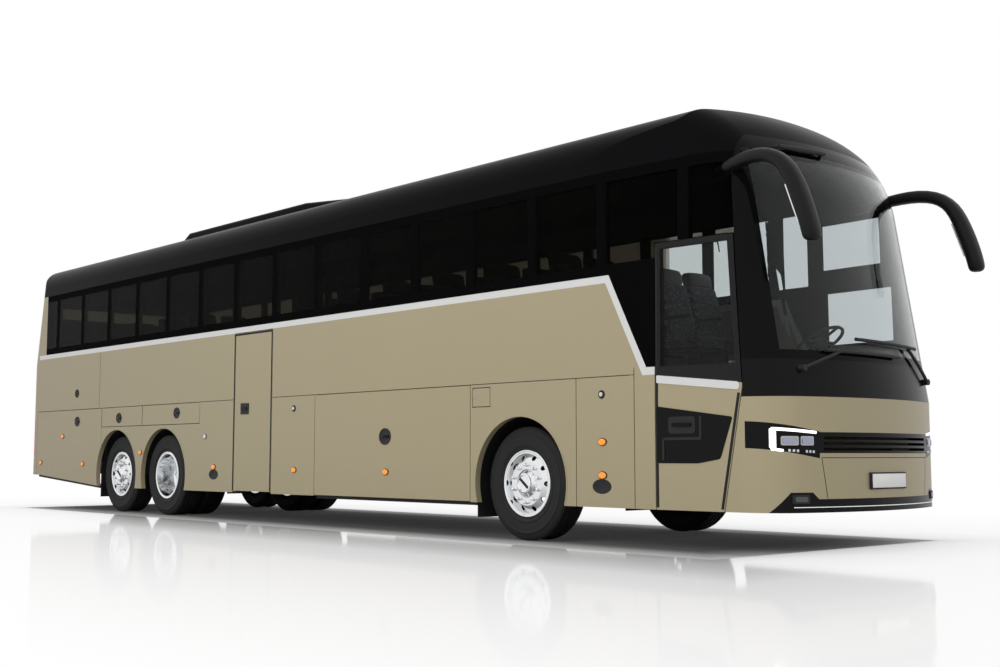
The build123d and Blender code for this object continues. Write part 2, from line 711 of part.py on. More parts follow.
# Lids in the sides: name, side, rear end, front end, foot at the rear, foot at the front
LIDS = (
    ("luggage_lid_right", RIGHT, drive_x(LUGGAGE_REAR), front_x(ARCH_PANEL_REAR),
     SKIRT_HEIGHT, SKIRT_HEIGHT),
    ("luggage_lid_left_front", LEFT, drive_x(LUGGAGE_REAR), front_x(ARCH_PANEL_REAR),
     SKIRT_HEIGHT, SKIRT_HEIGHT),
    ("luggage_lid_left_rear", LEFT, drive_x(EXIT_REAR), drive_x(LUGGAGE_REAR), SKIRT_HEIGHT, SKIRT_HEIGHT),
    ("locker_lid_right_front", RIGHT, drive_x(LOCKER_BREAK), drive_x(LOCKER_FRONT),
     LOCKER_FOOT_HEIGHT, LOCKER_FOOT_HEIGHT),
    ("locker_lid_right_rear", RIGHT, drive_x(LOCKER_REAR), drive_x(LOCKER_BREAK),
     LOCKER_FOOT_HEIGHT, LOCKER_FOOT_HEIGHT),
    ("quarter_lid_right", RIGHT, REAR_PANEL_X, drive_x(LOCKER_REAR), QUARTER_FOOT_HEIGHT, SKIRT_HEIGHT),
    ("quarter_lid_left", LEFT, REAR_PANEL_X, drive_x(LOCKER_REAR), QUARTER_FOOT_HEIGHT, SKIRT_HEIGHT),
)


def lid_outline(rear, front, rear_foot, front_foot, grow):
    """Outline of a lid, each side moved out by grow."""
    head = FLAP_SEAM_HEIGHT + grow
    return [(rear - grow, rear_foot - grow), (front + grow, front_foot - grow),
            (front + grow, head), (rear - grow, head)]


def lid(side, rear, front, rear_foot, front_foot):
    """Flat lid as thick as the wall, a seal gap short of the frame behind it."""
    outline = lid_outline(rear, front, rear_foot, front_foot, -SHUT_GAP)
    return plate_xz(outline, side * (INNER_HALF + SEAL_GAP), side * HALF_WIDTH)


def quarter_trim(shape, side):
    """A rear quarter piece, cut clear of the tag wheel's arch."""
    return shape - arch_cut(TAG_AXLE_X, side)


def lid_frames():
    """Posts and bars behind the lids on each side, and a ring of four behind the engine lid."""
    frames = []
    for wanted in (RIGHT, LEFT):
        y0, y1 = wanted * (INNER_HALF - FRAME_DEPTH), wanted * INNER_HALF
        wide = (wanted * (INNER_HALF - 2 * FRAME_DEPTH), wanted * (INNER_HALF + FRAME_DEPTH))
        frame, cut = None, None
        for name, side, rear, front, rear_foot, front_foot in LIDS:
            if side != wanted:
                continue
            outer = plate_xz(lid_outline(rear, front, rear_foot, front_foot, FRAME_LAP), y0, y1)
            hole = plate_xz(lid_outline(rear, front, rear_foot, front_foot, -FRAME_LAP), *wide)
            for x in (rear + FRAME_LAP, front - FRAME_LAP - SEAL_GAP):
                hole = hole + block(x, x + SEAL_GAP, *wide, 0, DECK_HEIGHT + WALL)
            frame = outer if frame is None else frame + outer
            cut = hole if cut is None else cut + hole
        frames.append(quarter_trim(frame - cut, wanted))
    x0, x1 = REAR_END + WALL, REAR_END + WALL + FRAME_DEPTH
    half, lap = ENGINE_LID_HALF, FRAME_LAP
    foot, head = ENGINE_LID_FOOT, ENGINE_LID_HEAD
    for side in (RIGHT, LEFT):
        frames.append(block(x0, x1, side * (half - lap), side * (half + lap), foot - lap, head + lap))
    for z in (foot, head):
        frames.append(block(x0, x1, lap - half + SEAL_GAP, half - lap - SEAL_GAP, z - lap, z + lap))
    return frames


def bar_xy(start, end, width, z0, z1):
    """Flat bar between two places in plan, with round ends."""
    run = Vector(end[0] - start[0], end[1] - start[1], 0)
    across = Vector(-run.Y, run.X, 0).normalized() * (width / 2)
    corners = [(start[0] + across.X, start[1] + across.Y), (end[0] + across.X, end[1] + across.Y),
               (end[0] - across.X, end[1] - across.Y), (start[0] - across.X, start[1] - across.Y)]
    bar = plate_xy(corners, z0, z1)
    for x, y in (start, end):
        bar = bar + rod((x, y, z0), (x, y, z1), width / 2)
    return bar


def door_places(jamb_x, ahead, wall_y, reach):
    """Plan places of a swing door's post, bend and eye, the door closed.

    jamb_x is the jamb that the door swings past, ahead is +1 where that is forward,
    and wall_y is the distance of the wall's inner face from the middle.
    """
    post = (jamb_x - ahead * POST_SETBACK, POST_INBOARD - wall_y)
    swing = radians(ARM_SWING)
    along = ARM_BULGE_ALONG * cos(swing) - ARM_BULGE_OUT * sin(swing)
    inboard = ARM_BULGE_OUT * cos(swing) + ARM_BULGE_ALONG * sin(swing)
    bend = (post[0] + ahead * along, post[1] - inboard)
    eye = (post[0] - ahead * reach, post[1] + ARM_EYE_OFFSET)
    return post, bend, eye


def door_arms(places, foot, head):
    """Turning post with two bent arms, each with an upright pin at its eye."""
    post, bend, eye = places
    arms = rod((*post, foot), (*post, head), POST_RADIUS)
    for level in ARM_LEVELS:
        z0, z1 = level - ARM_HEIGHT / 2, level + ARM_HEIGHT / 2
        arms = arms + bar_xy(post, bend, ARM_WIDTH, z0, z1) + bar_xy(bend, eye, ARM_WIDTH, z0, z1)
        pin_foot, pin_head = level - ARM_PIN_HEIGHT / 2, level + ARM_PIN_HEIGHT / 2
        arms = arms + rod((*eye, pin_foot), (*eye, pin_head), ARM_PIN_RADIUS)
    return arms


def door_lugs(eye):
    """Pairs of lugs inside a door that carry it on the arm pins."""
    lugs = []
    gap = ARM_HEIGHT / 2 + RUN_GAP / 4
    y0, y1 = -HALF_WIDTH + WALL / 2, eye[1] + LUG_END
    for level in ARM_LEVELS:
        for z in (level + gap, level - gap - LUG_THICKNESS):
            lug = block(eye[0] - LUG_RADIUS, eye[0] + LUG_RADIUS, y0, y1, z, z + LUG_THICKNESS)
            lug = lug - rod((*eye, z - WALL), (*eye, z + WALL), ARM_PIN_RADIUS + PIN_GAP)
            lugs.append(lug & INNER)
    return lugs


ENTRY_PLACES = door_places(pillar_x(ARM_LEVELS[0]), 1, ENTRY_INNER_Y, ENTRY_ARM_REACH)
EXIT_PLACES = door_places(drive_x(EXIT_REAR), -1, INNER_HALF, EXIT_ARM_REACH)


def entry_outline(grow):
    """Outline of the entry door, each side moved out by grow."""
    return [(ENTRY_X - grow, SKIRT_HEIGHT - WALL), (pillar_x(SKIRT_HEIGHT) + grow, SKIRT_HEIGHT - WALL),
            (pillar_x(SKIRT_HEIGHT) + grow, SKIRT_HEIGHT),
            (pillar_x(ENTRY_KNEE_HEIGHT) + grow, ENTRY_KNEE_HEIGHT),
            (pillar_x(ENTRY_HEAD_HEIGHT) + grow, ENTRY_HEAD_HEIGHT + grow),
            (ENTRY_X - grow, ENTRY_HEAD_HEIGHT + grow)]


def entry_door():
    """Entry door, cut from the tapered front corner, and its window."""
    leaf = side_piece(entry_outline(-SHUT_GAP), RIGHT)
    rail = ENTRY_WINDOW_RAIL
    head = ENTRY_HEAD_HEIGHT - rail
    window = [(ENTRY_X + rail, ENTRY_WINDOW_FOOT), (pillar_x(ENTRY_WINDOW_FOOT) - rail, ENTRY_WINDOW_FOOT),
              (pillar_x(head) - rail, head), (ENTRY_X + rail, head)]
    cut = plate_xz(window, -HALF_WIDTH / 2, -HALF_WIDTH - WALL)
    glass = leaf & cut
    leaf = leaf - cut
    for lug in door_lugs(ENTRY_PLACES[2]):
        leaf = leaf + lug
    return leaf, glass


def exit_door():
    """Flush exit door behind the luggage bay."""
    outline = rectangle(drive_x(EXIT_REAR) + SHUT_GAP, drive_x(EXIT_FRONT) - SHUT_GAP, EXIT_FOOT_HEIGHT,
                        BELT_HEIGHT - SHUT_GAP)
    leaf = plate_xz(outline, -INNER_HALF, -HALF_WIDTH)
    for lug in door_lugs(EXIT_PLACES[2]):
        leaf = leaf + lug
    return leaf


def stair(x0, x1, outer_y, steps, tread, foot, top_height):
    """Treads and risers of a stair climbing inboard from the right wall, and where its inner face is."""
    rise = (top_height - foot) / steps
    plates = []
    y, z = SHUT_GAP - outer_y, foot
    for step in range(steps):
        edge = y + (STAIR_FIRST_TREAD if step == 0 else tread)
        start = y if step == 0 else y + STAIR_PLATE + SEAL_GAP
        plates.append(block(x0, x1, start, edge - SEAL_GAP, z - STAIR_PLATE, z))
        plates.append(block(x0, x1, edge, edge + STAIR_PLATE, z - STAIR_PLATE, z + rise))
        y, z = edge, z + rise
    return plates, y + STAIR_PLATE


def boards(x_places, y_places, z0, z1, well):
    """Flat boards that fill a floor inside the walls, except for the well of a stair.

    x_places holds the floor's ends and y_places its sides; well holds the stair's ends and inner side.
    """
    well_rear, well_front, well_inner = well
    spans = ((x_places[0], well_rear - SEAL_GAP, y_places[0]),
             (well_rear, well_front, well_inner + SEAL_GAP),
             (well_front + SEAL_GAP, x_places[1], y_places[0]))
    return [block(rear, front, start, y_places[1], z0, z1) & INNER for rear, front, start in spans]


def floor():
    """Passenger deck, the lower platform at the front, and the two stairs, in boards and plates."""
    half = INNER_HALF - FRAME_DEPTH
    deck_low = DECK_HEIGHT - DECK_THICKNESS
    deck_front = front_x(DECK_FRONT)
    exit_x = (drive_x(EXIT_REAR), drive_x(EXIT_FRONT))
    exit_stair, exit_inner = stair(*exit_x, INNER_HALF, EXIT_STEPS, EXIT_TREAD, STAIR_FOOT, DECK_HEIGHT)
    deck_ends = (REAR_END + WALL + FRAME_DEPTH, deck_front)
    pieces = boards(deck_ends, (-half, half), deck_low, DECK_HEIGHT, (*exit_x, exit_inner))
    entry_x = (ENTRY_X, front_x(ENTRY_FRONT_KNEE) + 2 * SHUT_GAP)
    entry_stair, entry_inner = stair(*entry_x, ENTRY_INNER_Y, ENTRY_STEPS, ENTRY_TREAD, STAIR_FOOT,
                                     PLATFORM_HEIGHT)
    low = PLATFORM_HEIGHT - DECK_THICKNESS
    platform_ends = (deck_front + SEAL_GAP, FRONT_END)
    pieces += boards(platform_ends, (-half, half), low, PLATFORM_HEIGHT, (*entry_x, entry_inner))
    pieces.append(block(deck_front - DECK_THICKNESS, deck_front, -half, half, low, deck_low - SEAL_GAP))
    pieces.append(block(deck_front + SEAL_GAP, deck_front + AISLE_STEP, -AISLE_HALF, AISLE_HALF,
                        PLATFORM_HEIGHT + SEAL_GAP, (PLATFORM_HEIGHT + DECK_HEIGHT) / 2))
    return pieces + exit_stair + [plate & INNER for plate in entry_stair]


def tyre(x, y):
    """Tyre with a flat tread, chamfered shoulders and bulging sidewalls."""
    half, tread, bead = TYRE_WIDTH / 2, TREAD_WIDTH / 2, BEAD_WIDTH / 2
    shoulder = TYRE_RADIUS - SHOULDER_DROP
    widest = (TYRE_RADIUS + BEAD_RADIUS) / 2
    right = [(bead, BEAD_RADIUS), (half, widest), (half - SHOULDER_DROP / 4, shoulder), (tread, TYRE_RADIUS)]
    outline = [(y + out, radius) for out, radius in right]
    outline += [(y - out, radius) for out, radius in reversed(right)]
    return turned(outline, x, TYRE_RADIUS)


def rim_well(y):
    """Outline of the rim's well and flanges, from (y, radius) points."""
    half = BEAD_WIDTH / 2
    outer, inner = BEAD_RADIUS, BEAD_RADIUS - RIM_WALL
    lip, foot = half + FLANGE_REACH + FLANGE_WIDTH, half + FLANGE_REACH
    top = outer + FLANGE_LIFT
    right = [(y + foot, outer), (y + foot, top), (y + lip, top), (y + lip, inner)]
    left = [(y - lip, inner), (y - lip, top), (y - foot, top), (y - foot, outer)]
    return right + left


def hand_holes(x, y, depth):
    """Ring of round hand holes through a wheel disc."""
    holes = []
    for n in range(HAND_HOLES):
        angle = 2 * pi * n / HAND_HOLES
        px, pz = x + HAND_HOLE_CIRCLE * cos(angle), TYRE_RADIUS + HAND_HOLE_CIRCLE * sin(angle)
        holes.append(rod((px, y - depth, pz), (px, y + depth, pz), HAND_HOLE_RADIUS))
    return holes


def single_rim(x, side):
    """Rim of a single wheel: the disc stands outboard and the hub carries a cap."""
    y = side * WHEEL_CENTRE_Y
    inner = BEAD_RADIUS - RIM_WALL
    face = y + side * DISC_OFFSET
    well = turned(rim_well(y), x, TYRE_RADIUS)
    back, front = face + side * DISC_DISH, face + side * (DISC_DISH + DISC_THICKNESS)
    disc = turned([(face, inner + RIM_WALL / 2), (face + side * DISC_THICKNESS, inner + RIM_WALL / 2),
                   (front, NUT_RING_RADIUS), (front, HUB_RADIUS), (back, HUB_RADIUS),
                   (back, NUT_RING_RADIUS)], x, TYRE_RADIUS)
    start, end = side * HUB_INNER_Y, face + side * (DISC_DISH + DISC_THICKNESS + HUB_CAP)
    bore = SPINDLE_RADIUS + PIN_GAP
    bore_end = side * (SPINDLE_END_Y + RUN_GAP)
    outer = HUB_RADIUS + HUB_LAP
    hub = turned([(start, bore), (bore_end, bore), (bore_end, 0), (end, 0), (end, CAP_RADIUS),
                  (face + side * DISC_DISH, outer), (start, outer)], x, TYRE_RADIUS)
    rim = well + disc + hub
    for hole in hand_holes(x, face, DISC_HOLE_DEPTH):
        rim = rim - hole
    return rim


def twin_rim(x, side):
    """Pair of rims of a twin wheel, their discs bolted together, with the axle's hub."""
    outer_y = side * TWIN_OUTER_Y
    inner_y = side * (TWIN_OUTER_Y - TWIN_SPACING)
    middle = (outer_y + inner_y) / 2
    inner = BEAD_RADIUS - RIM_WALL
    rim = turned(rim_well(outer_y), x, TYRE_RADIUS) + turned(rim_well(inner_y), x, TYRE_RADIUS)
    half = TWIN_SPACING / 2 - BEAD_WIDTH / 2
    plate = DISC_THICKNESS
    outline = [(middle - half - plate, inner + RIM_WALL / 2), (middle + half + plate, inner + RIM_WALL / 2),
               (middle + plate, inner - DISC_DISH), (middle + plate, HUB_RADIUS),
               (middle - plate, HUB_RADIUS), (middle - plate, inner - DISC_DISH)]
    disc = turned(outline, x, TYRE_RADIUS)
    bore = SPINDLE_RADIUS + PIN_GAP
    start, end = middle - side * TWIN_HUB / 2, middle + side * TWIN_HUB
    bore_end = end - side * RUN_GAP
    hub = turned([(start, bore), (bore_end, bore), (bore_end, 0), (end, 0), (end, CAP_RADIUS),
                  (middle, HUB_RADIUS + HUB_LAP), (start, HUB_RADIUS + HUB_LAP)], x, TYRE_RADIUS)
    rim = rim + disc + hub
    for hole in hand_holes(x, middle, DISC_HOLE_DEPTH):
        rim = rim - hole
    return rim


def knuckle(x, side):
    """Steering knuckle: kingpin, fork, web and the spindle that carries the wheel."""
    hub, y = TYRE_RADIUS, side * KINGPIN_Y
    reach = BOSS_HEIGHT / 2 + RUN_GAP / 2 + FORK_THICKNESS
    web_y = side * (KINGPIN_Y + BOSS_RADIUS + RUN_GAP / 2)
    web_end = web_y + side * FORK_THICKNESS
    body = rod((x, y, hub - reach), (x, y, hub + reach), KINGPIN_RADIUS)
    for z in (hub + reach - FORK_THICKNESS, hub - reach):
        body = body + block(x - BOSS_RADIUS, x + BOSS_RADIUS, y - side * FORK_SETBACK, web_end, z,
                            z + FORK_THICKNESS)
    body = body + block(x - BOSS_RADIUS, x + BOSS_RADIUS, web_y, web_end, hub - reach, hub + reach)
    return body + rod((x, web_y, hub), (x, side * SPINDLE_END_Y, hub), SPINDLE_RADIUS)


def steered_axle(x):
    """Dropped axle beam with a bored boss at each kingpin and a pair of air springs."""
    hub, half = TYRE_RADIUS, BEAM_WIDTH / 2
    low = hub - BEAM_DROP
    inner = KINGPIN_Y - BEAM_CRANK
    top, under = [], []
    for y, z in ((-KINGPIN_Y, hub), (-inner, low), (inner, low), (KINGPIN_Y, hub)):
        top.append((y, z + BEAM_DEPTH / 2))
        under.append((y, z - BEAM_DEPTH / 2))
    axle = plate_yz(top + under[::-1], x - half, x + half)
    for side in (RIGHT, LEFT):
        y = side * KINGPIN_Y
        boss = rod((x, y, hub - BOSS_HEIGHT / 2), (x, y, hub + BOSS_HEIGHT / 2), BOSS_RADIUS)
        axle = axle + boss
        axle = axle - rod((x, y, hub - BOSS_HEIGHT), (x, y, hub + BOSS_HEIGHT), KINGPIN_RADIUS + PIN_GAP)
        spring_y = side * RAIL_Y
        axle = axle + rod((x, spring_y, low), (x, spring_y, RAIL_LOW), AIR_SPRING_RADIUS)
    return axle


def drive_axle():
    """Drive axle: tubes, a round differential housing, spindles and a pair of air springs."""
    x, hub = DRIVE_AXLE_X, TYRE_RADIUS
    middle = TWIN_OUTER_Y - TWIN_SPACING / 2
    end = middle + TWIN_HUB - 2 * RUN_GAP
    shoulder = middle - TWIN_HUB / 2 - RUN_GAP
    outline = [(-end, 0), (-end, SPINDLE_RADIUS), (-shoulder, SPINDLE_RADIUS), (-shoulder, AXLE_TUBE_RADIUS),
               (-DIFF_HALF, AXLE_TUBE_RADIUS), (-DIFF_HALF / 2, DIFF_RADIUS), (DIFF_HALF / 2, DIFF_RADIUS),
               (DIFF_HALF, AXLE_TUBE_RADIUS), (shoulder, AXLE_TUBE_RADIUS), (shoulder, SPINDLE_RADIUS),
               (end, SPINDLE_RADIUS), (end, 0)]
    axle = turned(outline, x, hub)
    for side in (RIGHT, LEFT):
        axle = axle + rod((x, side * RAIL_Y, hub), (x, side * RAIL_Y, RAIL_LOW), AIR_SPRING_RADIUS)
    return axle


def luggage_bay():
    """Floor plates and end walls of the luggage bay, clear of the exit stair's well."""
    deck_low = DECK_HEIGHT - DECK_THICKNESS
    low, foot = BAY_FLOOR - BAY_PLATE, BAY_FLOOR + SEAL_GAP
    half = INNER_HALF - FRAME_DEPTH
    well_front = drive_x(EXIT_FRONT) + STAIR_PLATE
    return [block(BAY_REAR, BAY_FRONT, STAIR_WELL_Y, half, low, BAY_FLOOR),
            block(well_front, BAY_FRONT, -half, STAIR_WELL_Y - SEAL_GAP, low, BAY_FLOOR),
            block(BAY_REAR, BAY_REAR + BAY_PLATE, STAIR_WELL_Y, half, foot, deck_low),
            block(BAY_FRONT - BAY_PLATE, BAY_FRONT, -half, half, foot, deck_low)]


def underframe():
    """The luggage bay, front and rear frame rails, cross-members, posts to the deck and the tow lug."""
    deck_low = DECK_HEIGHT - DECK_THICKNESS
    pieces = luggage_bay()
    beam = FRONT_END - RAIL_FRONT_SETBACK
    rail_rear = REAR_END + RAIL_REAR_SETBACK
    front, rear = BAY_FRONT + SEAL_GAP, BAY_REAR - SEAL_GAP
    rails = ((RIGHT, front, ENTRY_X - RAIL_WIDTH), (LEFT, front, beam - RAIL_WIDTH - SEAL_GAP),
             (RIGHT, rail_rear, rear), (LEFT, rail_rear, rear))
    inner, outer = RAIL_Y - RAIL_WIDTH / 2, RAIL_Y + RAIL_WIDTH / 2
    for side, x0, x1 in rails:
        pieces.append(block(x0, x1, side * inner, side * outer, RAIL_LOW, RAIL_HIGH))
    pieces.append(block(beam - RAIL_WIDTH, beam, -FRONT_BEAM_HALF, FRONT_BEAM_HALF, TOW_LOW, RAIL_HIGH))
    pieces.append(tow_lug(beam))
    posts = (front + RAIL_WIDTH / 2, FRONT_AXLE_X + ARCH_RADIUS,
             DRIVE_AXLE_X + ARCH_RADIUS + RAIL_WIDTH, TAG_AXLE_X - ARCH_RADIUS - RAIL_WIDTH)
    for x in posts:
        x0, x1 = x - RAIL_WIDTH / 2, x + RAIL_WIDTH / 2
        pieces.append(block(x0, x1, SEAL_GAP - inner, inner - SEAL_GAP, RAIL_LOW, RAIL_HIGH))
        for side in (RIGHT, LEFT):
            pieces.append(block(x0, x1, side * inner, side * outer, RAIL_HIGH + SEAL_GAP, deck_low))
    return pieces


def wheel_housing(x, side, outer):
    """Arched liner over a wheel, open below and at the wheel's outer side."""
    y0, y1 = side * HOUSING_INNER_Y, side * outer
    hub = TYRE_RADIUS
    skin = rod((x, y0, hub), (x, y1, hub), HOUSING_RADIUS + HOUSING_PLATE)
    skin = skin - rod((x, y0 - side * WALL, hub), (x, y1 + side * WALL, hub), HOUSING_RADIUS)
    reach = 2 * HOUSING_RADIUS
    return skin & block(x - reach, x + reach, y0, y1, hub, hub + reach)


def seat(x, y, z):
    """Cushion and raked back of one touring seat, facing forward, as two pads."""
    half = SEAT_WIDTH / 2
    lean = tan(radians(SEAT_RAKE)) * (SEAT_HEIGHT - SEAT_LEVEL)
    back_x, front = x - SEAT_DEPTH / 2, x + SEAT_DEPTH / 2
    level, top = z + SEAT_LEVEL, z + SEAT_HEIGHT
    cushion = block(back_x, front, y - half, y + half, level - SEAT_PAD, level)
    foot = level + SEAL_GAP
    back = plate_xz([(back_x, foot), (back_x + SEAT_PAD, foot), (back_x + SEAT_PAD - lean, top),
                     (back_x - lean, top)], y - half, y + half)
    return [cushion, back]


def seat_unit(x, places, z):
    """Seats side by side on one pedestal."""
    y0, y1 = min(places) - SEAT_WIDTH / 4, max(places) + SEAT_WIDTH / 4
    unit = [block(x - SEAT_FOOT_HALF, x + SEAT_FOOT_HALF, y0, y1, z, z + SEAT_LEVEL - SEAT_PAD - SEAL_GAP)]
    for y in places:
        unit += seat(x, y, z)
    return unit


def seats():
    """Rows of paired seats on the deck, clear of the exit stair, with the driver's seat in front."""
    pads = seat_unit(front_x(DRIVER_X), [DRIVER_Y], PLATFORM_HEIGHT)
    first = front_x(DECK_FRONT) - SEAT_FRONT_SPACE
    rows = int((first - REAR_END - SEAT_REAR_SPACE) // SEAT_PITCH) + 1
    for row in range(rows):
        x = first - row * SEAT_PITCH
        stair_near = drive_x(EXIT_REAR) - SEAT_PITCH / 2 < x < drive_x(EXIT_FRONT) + SEAT_PITCH / 2
        for side in (RIGHT, LEFT):
            if side == RIGHT and stair_near:
                continue
            outer_y = SEAT_AISLE_Y + SEAT_WIDTH + SEAT_GAP
            pads += seat_unit(x, [side * SEAT_AISLE_Y, side * outer_y], DECK_HEIGHT)
    return pads


def engine():
    """Rear engine as one plain block between the frame rails."""
    inner = RAIL_Y - RAIL_WIDTH / 2
    rear = REAR_END + ENGINE_SETBACK
    return block(rear, rear + ENGINE_LENGTH, -inner, inner, ENGINE_LOW, ENGINE_HIGH)


def dashboard():
    """Dashboard under the windscreen, with a hood over the driver's gauges, standing on the platform."""
    rear, front = front_x(DASH_REAR), FRONT_END
    profile = [(rear + DASH_STEP, PLATFORM_HEIGHT), (front, PLATFORM_HEIGHT), (front, DASH_TOP),
               (rear + DASH_STEP, DASH_TOP), (rear, DASH_TOP - DASH_STEP / 2), (rear, DASH_TOP - DASH_STEP)]
    board = plate_xz(profile, DASH_RIGHT_Y, HALF_WIDTH)
    hood_outline = [(rear, DASH_TOP - DASH_STEP), (rear + 2 * DASH_STEP, DASH_TOP),
                    (rear + DASH_STEP, DASH_TOP + DASH_HOOD)]
    hood = plate_xz(hood_outline, DRIVER_Y - DASH_HOOD_HALF, DRIVER_Y + DASH_HOOD_HALF)
    column = rod(column_point(-COLUMN_LENGTH), column_point(-STEERING_GRIP - PIN_GAP), COLUMN_RADIUS)
    return ((board + hood) & INNER) + column


def column_point(along):
    """Place on the steering column's line, along it from the wheel's hub."""
    tilt = radians(COLUMN_TILT)
    x, z = front_x(STEERING_X), PLATFORM_HEIGHT + STEERING_HEIGHT
    return (x - along * sin(tilt), DRIVER_Y, z + along * cos(tilt))


def steering_wheel():
    """Steering wheel: rim, hub and four spokes, square to its column."""
    plane = Plane(origin=column_point(0), z_dir=Vector(*column_point(1)) - Vector(*column_point(0)))
    section = Plane.XZ * Pos(STEERING_RADIUS, 0) * RegularPolygon(STEERING_GRIP, GRIP_SIDES)
    wheel = plane * revolve(section, Axis.Z)
    wheel = wheel + plane * Cylinder(COLUMN_RADIUS * 2, 2 * STEERING_GRIP)
    for angle in (0, 90, 180, 270):
        spoke = Box(STEERING_RADIUS, STEERING_GRIP * 2, STEERING_GRIP)
        wheel = wheel + plane * Rot(0, 0, angle) * Pos(STEERING_RADIUS / 2, 0, 0) * spoke
    return wheel


def parcel_racks():
    """Luggage racks under the roof along both sides."""
    rear, front = REAR_GLASS_X + ROOM, front_x(RACK_FRONT)
    low, high = RACK_HEIGHT, WINDOW_TOP + FRAME_LAP
    points = [(INNER_HALF, high - 2 * FRAME_LAP), (INNER_HALF, high), (RACK_INNER_Y, high),
              (RACK_INNER_Y - FRAME_LAP, low), (RACK_INNER_Y, low - FRAME_LAP)]
    rack = plate_yz(points, rear, front)
    return [rack, mirrored(rack)]


def mirror(side):
    """Outside mirror: an arm that bows forward from the roof's edge and swells into a hanging head."""
    sections = []
    for behind, out, z, wide, deep, tilt in MIRROR_SECTIONS:
        run = (cos(radians(tilt)), 0, -sin(radians(tilt)))
        plane = Plane(origin=(MIRROR_TIP_X - behind, side * out, z), x_dir=(0, 1, 0), z_dir=run)
        sections.append(plane * Ellipse(wide, deep))
    return loft(sections, ruled=True) - OUTER


def front_skin_x(y, z):
    """Front face of the lower front and windscreen at a place (y, z)."""
    lean = max(0, z - FRONT_LEAN_HEIGHT) * tan(radians(FRONT_LEAN))
    return FRONT_END - lean - FRONT_RADIUS + sqrt(FRONT_RADIUS**2 - y**2)


def off_front(place, lift):
    """Place lifted off the front by lift, from (y, z)."""
    y, z = place
    return (front_skin_x(y, z) + lift, y, z)


def front_wire(start, end, radius):
    """Round bar that follows the front's curve between two (y, z) places."""
    middle = ((start[0] + end[0]) / 2, (start[1] + end[1]) / 2)
    path = Edge.make_three_point_arc(*[off_front(place, WIPER_LIFT) for place in (start, middle, end)])
    section = Plane(origin=path @ 0, z_dir=path % 0) * Circle(radius)
    return sweep(section, path)


def wiper(pivot, elbow, blade):
    """Wiper: a stub at its pivot, an arm to its elbow and a blade across the glass."""
    head = off_front(pivot, WIPER_LIFT + WIPER_ARM_RADIUS)
    stub = rod(off_front(pivot, -WALL / 2), head, WIPER_STUB_RADIUS) - OUTER
    return stub + front_wire(pivot, elbow, WIPER_ARM_RADIUS) + front_wire(*blade, WIPER_ARM_RADIUS)


def mud_flaps():
    """Rubber flaps behind the front and tag wheels, hung from the wheel housings."""
    flaps = []
    for axle_x, outer in ((FRONT_AXLE_X, INNER_HALF), (TAG_AXLE_X, INNER_HALF - FRAME_DEPTH)):
        x = axle_x - HOUSING_RADIUS - HOUSING_PLATE
        for side in (RIGHT, LEFT):
            y0, y1 = side * FLAP_INNER_Y, side * outer
            flaps.append(block(x, x + FLAP_THICKNESS, y0, y1, FLAP_FOOT, TYRE_RADIUS))
    return flaps


def tow_lug(x):
    """Tow lug on the front cross-beam, with an upright pin bore."""
    lug = block(x + SEAL_GAP, x + TOW_REACH, -TOW_WIDTH / 2, TOW_WIDTH / 2, TOW_LOW,
                TOW_LOW + TOW_THICKNESS)
    eye = x + TOW_REACH - TOW_WIDTH / 2
    return lug - rod((eye, 0, 0), (eye, 0, RAIL_HIGH), TOW_PIN_RADIUS)


# Axles with single steered wheels: name, place along X
SINGLE_AXLES = (("front", FRONT_AXLE_X), ("tag", TAG_AXLE_X))
# Wheel housings: axle place, side, place of the outer edge
HOUSINGS = (
    (FRONT_AXLE_X, RIGHT, INNER_HALF),
    (FRONT_AXLE_X, LEFT, INNER_HALF),
    (DRIVE_AXLE_X, RIGHT, INNER_HALF - FRAME_DEPTH),
    (DRIVE_AXLE_X, LEFT, INNER_HALF),
    (TAG_AXLE_X, RIGHT, INNER_HALF - FRAME_DEPTH),
    (TAG_AXLE_X, LEFT, INNER_HALF - FRAME_DEPTH),
)
# Wipers: pivot, elbow and the ends of the blade, each as (y, z) on the front
WIPERS = (
    ((-890, 1430), (-473, 1584), ((-662, 1572), (270, 1560))),
    ((890, 1385), (500, 1640), ((-313, 1675), (673, 1654))),
)
SIDE_NAMES = ((RIGHT, "right"), (LEFT, "left"))

painted_front, front_trim, headlamps = front_end()
rear_wall, rear_glass, tail_lamps = rear_end()
entry_leaf, entry_glass = entry_door()

save("waist_panels", *waist_panels())
save("belt_mouldings", *belt_mouldings())
save("windows", *side_windows(), rear_glass)
save("skirt_panels", *skirt_panels())
save("roof", roof())
save("air_conditioner", air_conditioner())
save("front_panel", painted_front)
save("front_trim", *front_trim)
save("headlamps", *headlamps)
save("windscreen", windscreen())
save("rear_wall", rear_wall)
save("tail_lamps", *tail_lamps)
save("engine_lid", engine_lid())
save("lid_frames", *lid_frames())
save("floor", *floor())
save("underframe", *underframe())
save("wheel_housings", *[wheel_housing(*place) for place in HOUSINGS])
save("mud_flaps", *mud_flaps())
save("engine", engine())
save("dashboard", dashboard())
save("steering_wheel", steering_wheel())
save("seats", *seats())
save("parcel_racks", *parcel_racks())
save("mirrors", *[mirror(side) for side in (RIGHT, LEFT)])
save("wipers", *[wiper(*places) for places in WIPERS])
save("entry_door", entry_leaf)
save("entry_door_window", entry_glass)
save("entry_door_arms", door_arms(ENTRY_PLACES, STAIR_FOOT + SEAL_GAP, POST_TOP))
save("exit_door", exit_door())
save("exit_door_arms", door_arms(EXIT_PLACES, STAIR_FOOT + SEAL_GAP, POST_TOP))
save("axles", drive_axle(), *[steered_axle(axle_x) for name, axle_x in SINGLE_AXLES])
